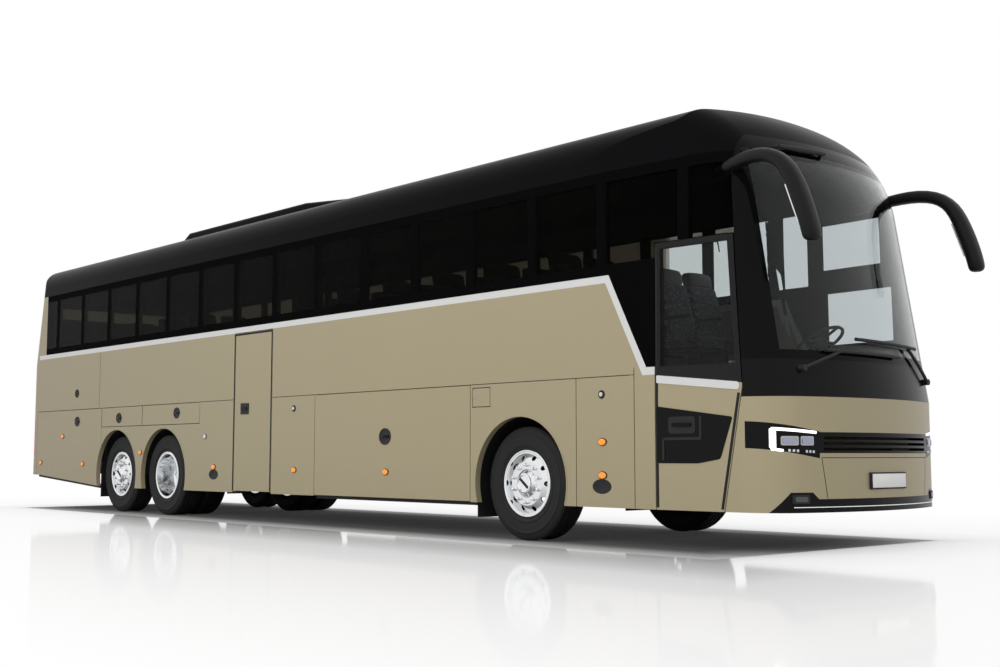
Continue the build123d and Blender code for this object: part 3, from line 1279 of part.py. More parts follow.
for end, axle_x in SINGLE_AXLES:
    for side, word in SIDE_NAMES:
        save(f"{end}_knuckle_{word}", knuckle(axle_x, side))
        save(f"{end}_tyre_{word}", tyre(axle_x, side * WHEEL_CENTRE_Y))
        save(f"{end}_rim_{word}", single_rim(axle_x, side))
for side, word in SIDE_NAMES:
    twins = (side * TWIN_OUTER_Y, side * (TWIN_OUTER_Y - TWIN_SPACING))
    save(f"drive_tyres_{word}", *[tyre(DRIVE_AXLE_X, y) for y in twins])
    save(f"drive_rims_{word}", twin_rim(DRIVE_AXLE_X, side))
for name, side, rear, front, rear_foot, front_foot in LIDS:
    save(name, quarter_trim(lid(side, rear, front, rear_foot, front_foot), side))
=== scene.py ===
"""Looks of a touring coach: finishes, fittings, wheels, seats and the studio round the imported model."""

import json
import logging
import math
from dataclasses import dataclass, field
from enum import Enum
from typing import Callable, Iterable, Optional, Sequence

import bmesh
import bpy
from mathutils import Matrix, Vector
from mathutils.bvhtree import BVHTree

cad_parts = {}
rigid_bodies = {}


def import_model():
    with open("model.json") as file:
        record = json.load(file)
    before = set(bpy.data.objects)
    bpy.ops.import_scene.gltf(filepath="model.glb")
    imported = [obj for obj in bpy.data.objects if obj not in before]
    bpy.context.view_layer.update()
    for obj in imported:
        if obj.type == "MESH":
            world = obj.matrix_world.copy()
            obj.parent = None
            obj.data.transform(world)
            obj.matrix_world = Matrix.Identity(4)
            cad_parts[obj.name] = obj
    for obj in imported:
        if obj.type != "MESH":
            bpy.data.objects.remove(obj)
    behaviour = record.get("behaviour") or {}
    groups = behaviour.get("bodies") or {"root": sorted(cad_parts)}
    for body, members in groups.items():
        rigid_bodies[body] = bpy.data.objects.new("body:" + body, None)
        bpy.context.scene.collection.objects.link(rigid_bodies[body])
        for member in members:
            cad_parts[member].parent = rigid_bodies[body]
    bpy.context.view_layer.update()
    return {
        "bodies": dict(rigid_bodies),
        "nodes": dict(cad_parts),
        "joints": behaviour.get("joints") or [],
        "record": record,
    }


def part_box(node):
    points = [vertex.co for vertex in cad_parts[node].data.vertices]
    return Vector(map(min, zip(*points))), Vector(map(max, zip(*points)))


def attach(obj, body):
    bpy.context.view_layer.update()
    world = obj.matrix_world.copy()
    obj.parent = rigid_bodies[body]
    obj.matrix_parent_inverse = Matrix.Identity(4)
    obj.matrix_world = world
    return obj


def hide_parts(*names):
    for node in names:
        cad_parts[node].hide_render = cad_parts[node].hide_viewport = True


LOG = logging.getLogger("coach")
LIDS = ("luggage_lid_right", "luggage_lid_left_front", "luggage_lid_left_rear", "locker_lid_right_front",
        "locker_lid_right_rear", "quarter_lid_right", "quarter_lid_left")
OUTSIDE = ("waist_panels", "skirt_panels", "front_panel", "front_trim", "headlamps", "windscreen",
           "rear_wall", "tail_lamps", "engine_lid", "entry_door", "exit_door", *LIDS, "roof",
           "air_conditioner", "windows")
Point = tuple[float, float]
Colour = tuple[float, float, float]


class Facing(Enum):
    """Way that a surface is looked at: the axis that a probe runs along, and its sign."""

    RIGHT = (1, -1)
    LEFT = (1, 1)
    FRONT = (0, 1)
    REAR = (0, -1)
    ROOF = (2, 1)


class Side(Enum):
    """Side of the coach, with the sign of its Y."""

    RIGHT = -1
    LEFT = 1

    @property
    def word(self) -> str:
        """The side's name, as it stands in the names of pieces."""
        return self.name.lower()

    @property
    def facing(self) -> Facing:
        """The probe for the side."""
        return Facing[self.name]

    @property
    def out(self) -> Vector:
        """Way out of the coach on this side."""
        return Vector((0, self.value, 0))


def shade(colour: Colour, factor: float) -> Colour:
    """Colour made darker or lighter."""
    return tuple(min(1.0, channel * factor) for channel in colour)


def rectangle(first: float, last: float, low: float, high: float, sign: int = 1) -> list[Point]:
    """Corner points of a level rectangle, with the first coordinate's sign turned where asked."""
    return [(sign * first, low), (sign * last, low), (sign * last, high), (sign * first, high)]


class Tree:
    """Node tree of one material, with short ways to add and join nodes."""

    def __init__(self, name: str) -> None:
        """Starts a material with a Principled shader and Object coordinates.

        Args:
            name: name of the material.
        """
        self.material = bpy.data.materials.new(name)
        self.material.use_nodes = True
        self.nodes = self.material.node_tree.nodes
        self.links = self.material.node_tree.links
        self.nodes.clear()
        self.output = self.nodes.new("ShaderNodeOutputMaterial")
        self.shader = self.nodes.new("ShaderNodeBsdfPrincipled")
        self.links.new(self.shader.outputs["BSDF"], self.output.inputs["Surface"])
        self.place = self.nodes.new("ShaderNodeTexCoord").outputs["Object"]

    def join(self, socket: bpy.types.NodeSocket, value: object) -> None:
        """Sets an input to a value or a colour, or links it.

        Args:
            socket: input to set.
            value: value, colour or output of another node.
        """
        if isinstance(value, bpy.types.NodeSocket):
            self.links.new(value, socket)
        elif isinstance(value, tuple):
            socket.default_value = (*value, 1.0)
        else:
            socket.default_value = value

    def set(self, socket: str, value: object) -> None:
        """Sets one of the shader's own sockets to a value, or links it."""
        self.join(self.shader.inputs[socket], value)

    def math(self, operation: str, first: object, second: object = 0.0) -> bpy.types.NodeSocket:
        """Result of a Math node for one or two values.

        Args:
            operation: name of the operation.
            first: first value.
            second: second value.

        Returns:
            The node's output.
        """
        node = self.nodes.new("ShaderNodeMath")
        node.operation = operation
        self.join(node.inputs[0], first)
        self.join(node.inputs[1], second)
        return node.outputs[0]

    def either(self, *masks: bpy.types.NodeSocket) -> bpy.types.NodeSocket:
        """Mask of the places where any of some masks holds.

        Args:
            masks: masks to join.

        Returns:
            The joined mask.
        """
        found = masks[0]
        for mask in masks[1:]:
            found = self.math("MAXIMUM", found, mask)
        return found

    def wave(self, value: bpy.types.NodeSocket, scale: float) -> bpy.types.NodeSocket:
        """Sine of a value times a scale."""
        return self.math("SINE", self.math("MULTIPLY", value, scale))

    def axes(self) -> tuple[bpy.types.NodeSocket, ...]:
        """X, Y and Z of the Object coordinates.

        Returns:
            The three outputs.
        """
        node = self.nodes.new("ShaderNodeSeparateXYZ")
        self.links.new(self.place, node.inputs[0])
        return tuple(node.outputs)

    def noise(self, scale: float, detail: float = 3.0) -> bpy.types.NodeSocket:
        """Noise on Object coordinates, with a number of features to a metre and of octaves.

        Args:
            scale: features to a metre.
            detail: octaves.

        Returns:
            The node's output.
        """
        node = self.nodes.new("ShaderNodeTexNoise")
        node.inputs["Scale"].default_value = scale
        node.inputs["Detail"].default_value = detail
        self.links.new(self.place, node.inputs["Vector"])
        return node.outputs["Fac"]

    def spread(self, value: bpy.types.NodeSocket, low: float, high: float, start: float = 0.0,
               end: float = 1.0) -> bpy.types.NodeSocket:
        """Value moved from start and end to low and high, and held between them.

        Args:
            value: output of another node.
            low: lowest result.
            high: highest result.
            start: value that becomes low.
            end: value that becomes high.

        Returns:
            The node's output.
        """
        node = self.nodes.new("ShaderNodeMapRange")
        names = ("Value", "From Min", "From Max", "To Min", "To Max")
        for name, part in zip(names, (value, start, end, low, high)):
            self.join(node.inputs[name], part)
        return node.outputs["Result"]

    def mix(self, share: object, first: object, second: object) -> bpy.types.NodeSocket:
        """Colour between two colours.

        Args:
            share: place between the two, from 0 to 1.
            first: colour at 0.
            second: colour at 1.

        Returns:
            The mixed colour.
        """
        node = self.nodes.new("ShaderNodeMix")
        node.data_type = "RGBA"
        self.join(node.inputs[0], share)
        colours = [socket for socket in node.inputs if socket.type == "RGBA"]
        for socket, colour in zip(colours, (first, second)):
            self.join(socket, colour)
        return next(socket for socket in node.outputs if socket.type == "RGBA")

    def bump(self, height: bpy.types.NodeSocket, depth: float, strength: float = 1.0) -> None:
        """Raises the surface's normal by a height field of a given depth in metres.

        Args:
            height: height field.
            depth: its depth in metres.
            strength: how strongly it shows.
        """
        node = self.nodes.new("ShaderNodeBump")
        node.inputs["Strength"].default_value = strength
        node.inputs["Distance"].default_value = depth
        self.links.new(height, node.inputs["Height"])
        self.links.new(node.outputs["Normal"], self.shader.inputs["Normal"])


@dataclass(frozen=True)
class Finish:
    """A finish with a slightly uneven colour, an uneven gloss and a fine grain."""

    name: str
    colour: Colour
    roughness: float = 0.5
    metallic: float = 0.0
    specular: float = 0.5
    coat: float = 0.0
    mottle: float = 0.08
    mottle_scale: float = 2.5
    grain: float = 0.0002
    grain_scale: float = 500.0

    def material(self) -> bpy.types.Material:
        """The finish's material, made at its first use.

        Returns:
            The material.
        """
        found = bpy.data.materials.get(self.name)
        if found is not None:
            return found
        tree = Tree(self.name)
        self.dress(tree)
        return tree.material

    def gloss(self, tree: Tree, coat_roughness: float) -> None:
        """Sets the shader's sockets for its metal, its gloss and its clear coat.

        Args:
            tree: node tree of the material.
            coat_roughness: roughness of the clear coat.
        """
        tree.set("Metallic", self.metallic)
        tree.set("Specular IOR Level", self.specular)
        tree.set("Coat Weight", self.coat)
        tree.set("Coat Roughness", coat_roughness)

    def dress(self, tree: Tree) -> None:
        """Sets the shader's sockets and patterns.

        Args:
            tree: node tree of the material.
        """
        self.gloss(tree, 0.04)
        uneven = tree.noise(self.mottle_scale, 5.0)
        dark, light = shade(self.colour, 1.0 - self.mottle), shade(self.colour, 1.0 + self.mottle)
        tree.set("Base Color", tree.mix(uneven, dark, light))
        tree.set("Roughness", tree.spread(uneven, self.roughness * 0.85, min(1.0, self.roughness * 1.15)))
        tree.bump(tree.noise(self.grain_scale, 2.0), self.grain)


@dataclass(frozen=True)
class FlakePaint(Finish):
    """Metallic paint under a clear coat: fine flakes and a faint drift of shade."""

    flake_scale: float = 900.0
    flake: float = 0.16
    contrast: float = 0.38

    def dress(self, tree: Tree) -> None:
        """Adds flakes to the colour and leaves the clear coat smooth.

        Args:
            tree: node tree of the material.
        """
        self.gloss(tree, 0.03)
        flakes = tree.noise(self.flake_scale, 1.0)
        drift = tree.noise(self.mottle_scale, 3.0)
        both = tree.math("ADD", tree.spread(flakes, -self.flake, self.flake),
                         tree.spread(drift, -self.mottle, self.mottle))
        share = tree.spread(both, 0.0, 1.0, -0.5, 0.5)
        dark, light = shade(self.colour, 1.0 - self.contrast), shade(self.colour, 1.0 + self.contrast)
        tree.set("Base Color", tree.mix(share, dark, light))
        tree.set("Roughness", tree.spread(flakes, self.roughness * 0.8, self.roughness * 1.2))
        tree.bump(tree.noise(self.grain_scale, 2.0), self.grain, 0.4)


@dataclass(frozen=True)
class Weave(Finish):
    """Woven seat cloth with crossing threads and a soft sheen."""

    thread: float = 900.0
    accent: Colour = (0.2, 0.2, 0.24)
    figure_scale: float = 38.0
    figure_level: float = 0.58
    figure_share: float = 0.55

    def dress(self, tree: Tree) -> None:
        """Crosses two sets of threads and lays a loose figure over them.

        Args:
            tree: node tree of the material.
        """
        x, y, z = tree.axes()
        warp, weft = tree.wave(y, self.thread), tree.wave(tree.math("ADD", x, z), self.thread)
        threads = tree.math("MULTIPLY", warp, weft)
        figure = tree.math("GREATER_THAN", tree.noise(self.figure_scale, 1.0), self.figure_level)
        share = tree.math("MULTIPLY", figure, self.figure_share)
        tree.set("Base Color", tree.mix(share, self.colour, self.accent))
        tree.set("Roughness", tree.spread(threads, 0.8, 0.95, -1.0, 1.0))
        tree.set("Specular IOR Level", self.specular)
        tree.set("Sheen Weight", 0.35)
        tree.bump(threads, self.grain)


@dataclass(frozen=True)
class Ribbed(Finish):
    """Moulded sheet with fine parallel ribs across Y."""

    rib: float = 250.0

    def dress(self, tree: Tree) -> None:
        """Adds the ribs to the plain finish."""
        super().dress(tree)
        tree.bump(tree.wave(tree.axes()[1], self.rib), self.grain)


@dataclass(frozen=True)
class Glass(Finish):
    """Tinted glass with a black printed border where a mask says so."""

    border: Optional[Callable[[Tree], bpy.types.NodeSocket]] = None
    untinted: Optional[Callable[[Tree], bpy.types.NodeSocket]] = None
    clear: Colour = (0.72, 0.76, 0.76)
    print_black: Colour = (0.0028, 0.0028, 0.003)
    ior: float = 1.1

    def dress(self, tree: Tree) -> None:
        """Lets light through, apart from the border.

        Args:
            tree: node tree of the material.
        """
        tree.set("IOR", self.ior)
        tree.set("Specular IOR Level", self.specular)
        film = tree.noise(self.mottle_scale, 3.0)
        tree.set("Roughness", tree.spread(film, 0.0, self.roughness))
        if self.border is None:
            tree.set("Base Color", self.colour)
            tree.set("Transmission Weight", 1.0)
            return
        mask = self.border(tree)
        tint = self.colour
        if self.untinted is not None:
            tint = tree.mix(self.untinted(tree), self.colour, self.clear)
        tree.set("Base Color", tree.mix(mask, tint, self.print_black))
        tree.set("Transmission Weight", tree.math("SUBTRACT", 1.0, mask))


@dataclass(frozen=True)
class Glow(Finish):
    """Lamp that shines a little by itself, behind a grooved lens."""

    strength: float = 1.0
    groove: float = 700.0

    def dress(self, tree: Tree) -> None:
        """Adds light to the plain finish.

        Args:
            tree: node tree of the material.
        """
        super().dress(tree)
        tree.set("Emission Color", self.colour)
        tree.set("Emission Strength", self.strength)
        tree.bump(tree.wave(tree.axes()[2], self.groove), self.grain)


@dataclass(frozen=True)
class TwoTone(FlakePaint):
    """Body paint that turns black above a falling line, for the entry door's window frame."""

    level: float = 1.404
    start: float = 5.5925
    fall: float = 0.1045
    upper: Colour = (0.004, 0.004, 0.0045)

    def dress(self, tree: Tree) -> None:
        """Paints the upper part black.

        Args:
            tree: node tree of the material.
        """
        super().dress(tree)
        painted = tree.shader.inputs["Base Color"].links[0].from_socket
        x, _, z = tree.axes()
        tilted = tree.math("ADD", z, tree.math("MULTIPLY", x, self.fall))
        above = tree.math("GREATER_THAN", tilted, self.level + self.fall * self.start)
        tree.set("Base Color", tree.mix(above, painted, self.upper))


class Palette:
    """Every finish of the coach."""

    PAINT = {"colour": (0.335, 0.288, 0.184), "roughness": 0.38, "metallic": 0.25, "specular": 0.22,
             "coat": 0.12, "mottle": 0.03, "mottle_scale": 0.8, "grain": 0.00004, "grain_scale": 300.0}
    GOLD = FlakePaint("champagne_paint", **PAINT)
    DOOR = TwoTone("entry_door_paint", **PAINT)
    ROOF = Finish("roof_black", (0.003, 0.003, 0.0035), 0.3, specular=0.022, grain=0.00005)
    BLACK = Finish("gloss_black", (0.004, 0.004, 0.0045), 0.2, specular=0.1, grain=0.00003)
    PLASTIC = Finish("moulded_black", (0.012, 0.012, 0.013), 0.55, specular=0.3, grain=0.0004,
                     grain_scale=900.0)
    CHASSIS = Finish("chassis_black", (0.012, 0.012, 0.012), 0.6, specular=0.3, mottle=0.3, grain=0.0006,
                     grain_scale=260.0)
    RUBBER = Finish("rubber", (0.013, 0.013, 0.0135), 0.75, specular=0.25, mottle=0.2, grain=0.0005,
                    grain_scale=350.0)
    TYRE = Finish("tyre_rubber", (0.0125, 0.0125, 0.013), 0.7, specular=0.3, mottle=0.25, mottle_scale=9.0,
                  grain=0.0006, grain_scale=420.0)
    ALLOY = Finish("polished_alloy", (0.80, 0.81, 0.82), 0.14, metallic=1.0, mottle=0.05, mottle_scale=14.0,
                   grain=0.00008, grain_scale=700.0)
    MOULDING = Finish("satin_moulding", (0.60, 0.60, 0.59), 0.32, metallic=0.45, specular=0.4, mottle=0.03,
                      grain=0.00004)
    CHROME = Finish("chrome", (0.87, 0.88, 0.89), 0.07, metallic=1.0, mottle=0.04, grain=0.00003)
    STEEL = Finish("machined_steel", (0.42, 0.42, 0.42), 0.35, metallic=0.9, mottle=0.15, mottle_scale=20.0)
    IRON = Finish("engine_iron", (0.12, 0.12, 0.12), 0.6, metallic=0.4, mottle=0.3, grain=0.001,
                  grain_scale=180.0)
    # FLOOR, LINING and CLOTH are dark of their own, and darkened further as painted shade for the dim inside
    # of the coach.
    FLOOR = Ribbed("ribbed_floor", (0.03, 0.03, 0.033), 0.6, mottle=0.15, grain=0.0015)
    DASH = Finish("soft_dash", (0.02, 0.02, 0.021), 0.62, specular=0.3, grain=0.0009, grain_scale=480.0)
    LINING = Finish("grey_lining", (0.05, 0.05, 0.052), 0.8, specular=0.2, grain=0.0007, grain_scale=600.0)
    CLOTH = Weave("seat_cloth", (0.035, 0.037, 0.045), 0.9, specular=0.2, grain=0.0006)
    LEATHER = Finish("seat_leather", (0.02, 0.02, 0.021), 0.45, specular=0.4, mottle=0.2, grain=0.0008,
                     grain_scale=320.0)
    AMBER = Glow("amber_lens", (0.75, 0.24, 0.02), 0.2, grain=0.0006, strength=0.45)
    RED = Glow("red_lens", (0.36, 0.012, 0.012), 0.2, grain=0.0006, strength=0.12)
    DAYLIGHT = Glow("daylight_guide", (0.95, 0.97, 1.0), 0.2, grain=0.0001, strength=1.3)
    CLEAR_LENS = Glow("clear_lens", (0.55, 0.57, 0.6), 0.12, grain=0.0003, strength=0.05)
    LENS = Finish("lamp_lens", (0.30, 0.32, 0.42), 0.08, metallic=0.7, specular=0.6, mottle=0.15,
                  mottle_scale=30.0, grain=0.0006, grain_scale=140.0)
    FOG = Finish("fog_lens", (0.05, 0.052, 0.056), 0.15, specular=0.5, mottle=0.2, mottle_scale=60.0,
                 grain=0.0005)
    MIRROR_SHELL = Finish("mirror_shell", (0.006, 0.006, 0.0066), 0.42, specular=0.15, grain=0.0002,
                          grain_scale=700.0)
    PLATE = Finish("plate_white", (0.72, 0.72, 0.70), 0.4, mottle=0.03, grain=0.0002)
    MIRROR = Finish("mirror_glass", (0.8, 0.82, 0.84), 0.03, metallic=1.0, mottle=0.01, grain=0.00001)


@dataclass
class Places:
    """Places of the coach, read from the frame."""

    front_axle: float = field(init=False)
    drive_axle: float = field(init=False)
    tag_axle: float = field(init=False)
    hub: float = field(init=False)
    half_width: float = field(init=False)

    def __post_init__(self) -> None:
        """Reads the axles and the body's half width."""
        self.front_axle = self.middle("front_tyre_right").x
        self.drive_axle = self.middle("drive_tyres_right").x
        self.tag_axle = self.middle("tag_tyre_right").x
        self.hub = self.middle("front_tyre_right").z
        self.half_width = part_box("waist_panels")[1].y

    @staticmethod
    def middle(node: str) -> Vector:
        """Middle of a node's box."""
        low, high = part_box(node)
        return (low + high) / 2

    def at(self, ahead: float) -> float:
        """X of a place given ahead of the front axle."""
        return self.front_axle + ahead

    def path(self, points: Iterable[Point]) -> list[Point]:
        """Points of (X, height) from points of (ahead of the front axle, height)."""
        return [(self.at(ahead), height) for ahead, height in points]


class Skin:
    """Outer faces of CAD nodes, probed so that pieces sit on them."""

    REACH = 12.0

    def __init__(self, frame: dict, nodes: Sequence[str]) -> None:
        """Gathers the faces of some nodes.

        Args:
            frame: the loaded frame.
            nodes: names of the nodes.
        """
        points: list[Vector] = []
        faces: list[tuple[int, ...]] = []
        for name in nodes:
            mesh = frame["nodes"][name].data
            start = len(points)
            points += [vertex.co.copy() for vertex in mesh.vertices]
            faces += [tuple(start + index for index in face.vertices) for face in mesh.polygons]
        self.tree = BVHTree.FromPolygons(points, faces)

    def hit(self, facing: Facing, first: float, second: float) -> tuple[Vector, Vector]:
        """Nearest place of the skin seen from outside.

        Args:
            facing: side that the probe comes from.
            first: first coordinate across the probe, in X, Y, Z order.
            second: second coordinate across the probe.

        Returns:
            The place and the outward normal there.
        """
        axis, sign = facing.value
        start = Vector((first, first, second))
        if axis == 0:
            start = Vector((0, first, second))
        elif axis == 2:
            start = Vector((first, second, 0))
        start[axis] = sign * self.REACH
        ray = Vector((0, 0, 0))
        ray[axis] = -sign
        place, normal, _, _ = self.tree.ray_cast(start, ray)
        if place is None:
            place, normal, _, _ = self.tree.find_nearest(start + ray * self.REACH * 0.5)
        if normal.dot(ray) > 0:
            normal = -normal
        return place, normal


class Piece:
    """One new mesh: a bmesh shaped by operators, then dressed and set on a body."""

    SHARP = math.radians(32)

    def __init__(self, name: str) -> None:
        """Starts an empty mesh."""
        self.name = name
        self.bm = bmesh.new()

    @staticmethod
    def outward(bm: bmesh.types.BMesh, faces: Sequence[bmesh.types.BMFace]) -> None:
        """Turns the faces of one closed shell outwards.

        Args:
            bm: bmesh of the shell.
            faces: faces of the shell.
        """
        bmesh.ops.recalc_face_normals(bm, faces=list(faces))
        spots = [vertex.co for face in faces for vertex in face.verts]
        middle = sum(spots, Vector()) / len(spots)
        volume = sum((face.calc_center_median() - middle).dot(face.normal) * face.calc_area()
                     for face in faces)
        if volume < 0:
            bmesh.ops.reverse_faces(bm, faces=list(faces))

    def slab(self, outline: Sequence[Sequence[float]], shift: Sequence[float], bevel: float = 0.0) -> list:
        """Solid from a flat outline of points, extruded by a shift.

        Args:
            outline: corner points in order.
            shift: way and length of the extrusion.
            bevel: width of the bevel on its edges.

        Returns:
            The slab's vertices.
        """
        corners = [self.bm.verts.new(point) for point in outline]
        base = self.bm.faces.new(corners)
        moved = bmesh.ops.extrude_face_region(self.bm, geom=[base], use_keep_orig=True)
        top = [item for item in moved["geom"] if isinstance(item, bmesh.types.BMVert)]
        bmesh.ops.translate(self.bm, verts=top, vec=Vector(shift))
        verts = corners + top
        self.outward(self.bm, list({f for v in verts for f in v.link_faces}))
        if bevel > 0:
            edges = list({e for v in verts for e in v.link_edges})
            made = bmesh.ops.bevel(self.bm, geom=edges, offset=bevel, segments=2, affect="EDGES", profile=0.5,
                                   material=-1, clamp_overlap=True)
            verts = made["verts"]
        return verts

    def box(self, low: Sequence[float], high: Sequence[float], bevel: float = 0.0) -> list:
        """Box between two corners, with its edges bevelled.

        Args:
            low: lowest corner.
            high: highest corner.
            bevel: width of the bevel on its edges.

        Returns:
            The box's vertices.
        """
        outline = [(low[0], low[1], low[2]), (high[0], low[1], low[2]), (high[0], high[1], low[2]),
                   (low[0], high[1], low[2])]
        return self.slab(outline, (0, 0, high[2] - low[2]), bevel)

    def turned(self, profile: Sequence[Point], centre: Sequence[float], axis: Sequence[float],
               steps: int = 32) -> list:
        """Solid of revolution.

        Args:
            profile: (radius, height along the axis) points.
            centre: foot of the axis.
            axis: way of the axis.
            steps: steps round the turn.

        Returns:
            The vertices made.
        """
        along = Vector(axis).normalized()
        out = along.orthogonal().normalized()
        before = set(self.bm.verts)
        points = [Vector(centre) + out * radius + along * height for radius, height in profile]
        verts = [self.bm.verts.new(point) for point in points]
        edges = [self.bm.edges.new(pair) for pair in zip(verts, verts[1:])]
        bmesh.ops.spin(self.bm, geom=verts + edges, cent=Vector(centre), axis=along, angle=math.tau,
                       steps=steps, use_merge=True, use_normal_flip=False)
        made = [v for v in self.bm.verts if v not in before]
        bmesh.ops.remove_doubles(self.bm, verts=made, dist=1e-5)
        made = [v for v in self.bm.verts if v not in before]
        self.outward(self.bm, list({f for v in made for f in v.link_faces}))
        return made

    def swept(self, stations: Sequence[tuple[Vector, Vector, Vector]], sides: int = 12,
              square: float = 0.0) -> None:
        """Closed bar through stations of (place, half width, half height), as rings that are extruded on.

        Args:
            stations: ring centres with their two half axes.
            sides: points round a ring.
            square: from 0, an ellipse, to 1, nearly a rectangle.
        """
        ring = bmesh.ops.create_circle(self.bm, cap_ends=True, radius=1.0, segments=sides)["verts"]
        angles = [math.atan2(vertex.co.y, vertex.co.x) for vertex in ring]
        power = 1.0 - 0.62 * square

        def place(verts: list, station: tuple[Vector, Vector, Vector]) -> None:
            """Moves a ring's vertices to a station.

            Args:
                verts: vertices of the ring.
                station: centre and half axes of the ring.
            """
            centre, wide, high = station
            for vertex, angle in zip(verts, angles):
                c, s = math.cos(angle), math.sin(angle)
                a = math.copysign(abs(c) ** power, c)
                b = math.copysign(abs(s) ** power, s)
                vertex.co = centre + wide * a + high * b

        place(ring, stations[0])
        for station in stations[1:]:
            edges = [e for e in self.bm.edges if e.verts[0] in ring and e.verts[1] in ring]
            moved = bmesh.ops.extrude_edge_only(self.bm, edges=edges)["geom"]
            new = [item for item in moved if isinstance(item, bmesh.types.BMVert)]
            order = []
            for vertex in ring:
                partner = next(e.other_vert(vertex) for e in vertex.link_edges if e.other_vert(vertex) in new)
                order.append(partner)
            place(order, station)
            ring = order
        self.bm.faces.new(ring)
        bmesh.ops.recalc_face_normals(self.bm, faces=self.bm.faces[:])

    def patch(self, skin: Skin, facing: Facing, outline: Sequence[Point], proud: float, sink: float = 0.004,
              step: float = 0.06, corner: float = 0.0) -> None:
        """Plate that follows the skin inside an outline.

        Args:
            skin: surface to follow.
            facing: side that the outline is seen from.
            outline: corner points across the probe's way.
            proud: height of the plate's outer face over the skin.
            sink: depth of its back under the skin.
            step: distance between cuts that let it bend.
            corner: radius of its corners.
        """
        work = bmesh.new()
        verts = [work.verts.new((a, b, 0.0)) for a, b in outline]
        work.faces.new(verts)
        if corner > 0:
            bmesh.ops.bevel(work, geom=verts, offset=corner, segments=4, affect="VERTICES", profile=0.5,
                            material=-1, clamp_overlap=True)
        for axis in (0, 1):
            low = min(v.co[axis] for v in work.verts)
            high = max(v.co[axis] for v in work.verts)
            for n in range(1, max(1, math.ceil((high - low) / step))):
                cut = Vector((0, 0, 0))
                cut[axis] = low + (high - low) * n / math.ceil((high - low) / step)
                way = Vector((0, 0, 0))
                way[axis] = 1.0
                bmesh.ops.bisect_plane(work, geom=work.verts[:] + work.edges[:] + work.faces[:], plane_co=cut,
                                       plane_no=way)
        base = work.verts[:]
        moved = bmesh.ops.extrude_face_region(work, geom=work.faces[:], use_keep_orig=True)["geom"]
        top = {item for item in moved if isinstance(item, bmesh.types.BMVert)}
        for vertex in base + list(top):
            place, normal = skin.hit(facing, vertex.co.x, vertex.co.y)
            vertex.co = place + normal * (proud if vertex in top else -sink)
        self.outward(work, work.faces[:])
        self.absorb(work)

    def ribbon(self, skin: Skin, facing: Facing, path: Sequence[Point], width: float, proud: float,
               sink: float = 0.004) -> None:
        """Strip of one width that follows a path of points on the skin.

        Args:
            skin: surface to follow.
            facing: side that it is seen from.
            path: points along its middle.
            width: width of the strip.
            proud: height over the skin.
            sink: depth of its back under the skin.
        """
        for (a0, b0), (a1, b1) in zip(path, path[1:]):
            run = Vector((a1 - a0, b1 - b0))
            along = run.normalized() * (width / 2)
            across = Vector((-along.y, along.x))
            start, end = Vector((a0, b0)) - along, Vector((a1, b1)) + along
            outline = [start + across, end + across, end - across, start - across]
            self.patch(skin, facing, [(p.x, p.y) for p in outline], proud, sink)

    def absorb(self, other: bmesh.types.BMesh) -> None:
        """Takes in another bmesh and frees it.

        Args:
            other: bmesh to take in.
        """
        mesh = bpy.data.meshes.new("work")
        other.to_mesh(mesh)
        other.free()
        self.bm.from_mesh(mesh)
        bpy.data.meshes.remove(mesh)

    def copies(self, shifts: Iterable[Matrix]) -> None:
        """Replaces the mesh by copies of it, one for each matrix.

        Args:
            shifts: place of each copy.
        """
        mesh = bpy.data.meshes.new("work")
        self.bm.to_mesh(mesh)
        self.bm.clear()
        for matrix in shifts:
            start = len(self.bm.verts)
            self.bm.from_mesh(mesh)
            self.bm.verts.ensure_lookup_table()
            bmesh.ops.transform(self.bm, matrix=matrix, verts=self.bm.verts[start:])
        bpy.data.meshes.remove(mesh)

    def done(self, finish: Finish, body: str = "coach",
             replaces: Sequence[str] = (), smooth: int = 0) -> bpy.types.Object:
        """Makes the object, dresses it and sets it on a body.

        Args:
            finish: its finish.
            body: body that it rides on.
            replaces: CAD nodes that it stands for.
            smooth: levels of subdivision.

        Returns:
            The object.
        """
        mesh = bpy.data.meshes.new(self.name)
        self.bm.to_mesh(mesh)
        self.bm.free()
        piece = bpy.data.objects.new(self.name, mesh)
        bpy.context.scene.collection.objects.link(piece)
        mesh.materials.append(finish.material())
        mesh.shade_smooth()
        mesh.set_sharp_from_angle(angle=self.SHARP)
        if smooth:
            modifier = piece.modifiers.new("smooth", "SUBSURF")
            modifier.levels = smooth
            modifier.render_levels = smooth
        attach(piece, body)
        if replaces:
            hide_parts(*replaces)
        LOG.info("%s on %s", self.name, body)
        return piece


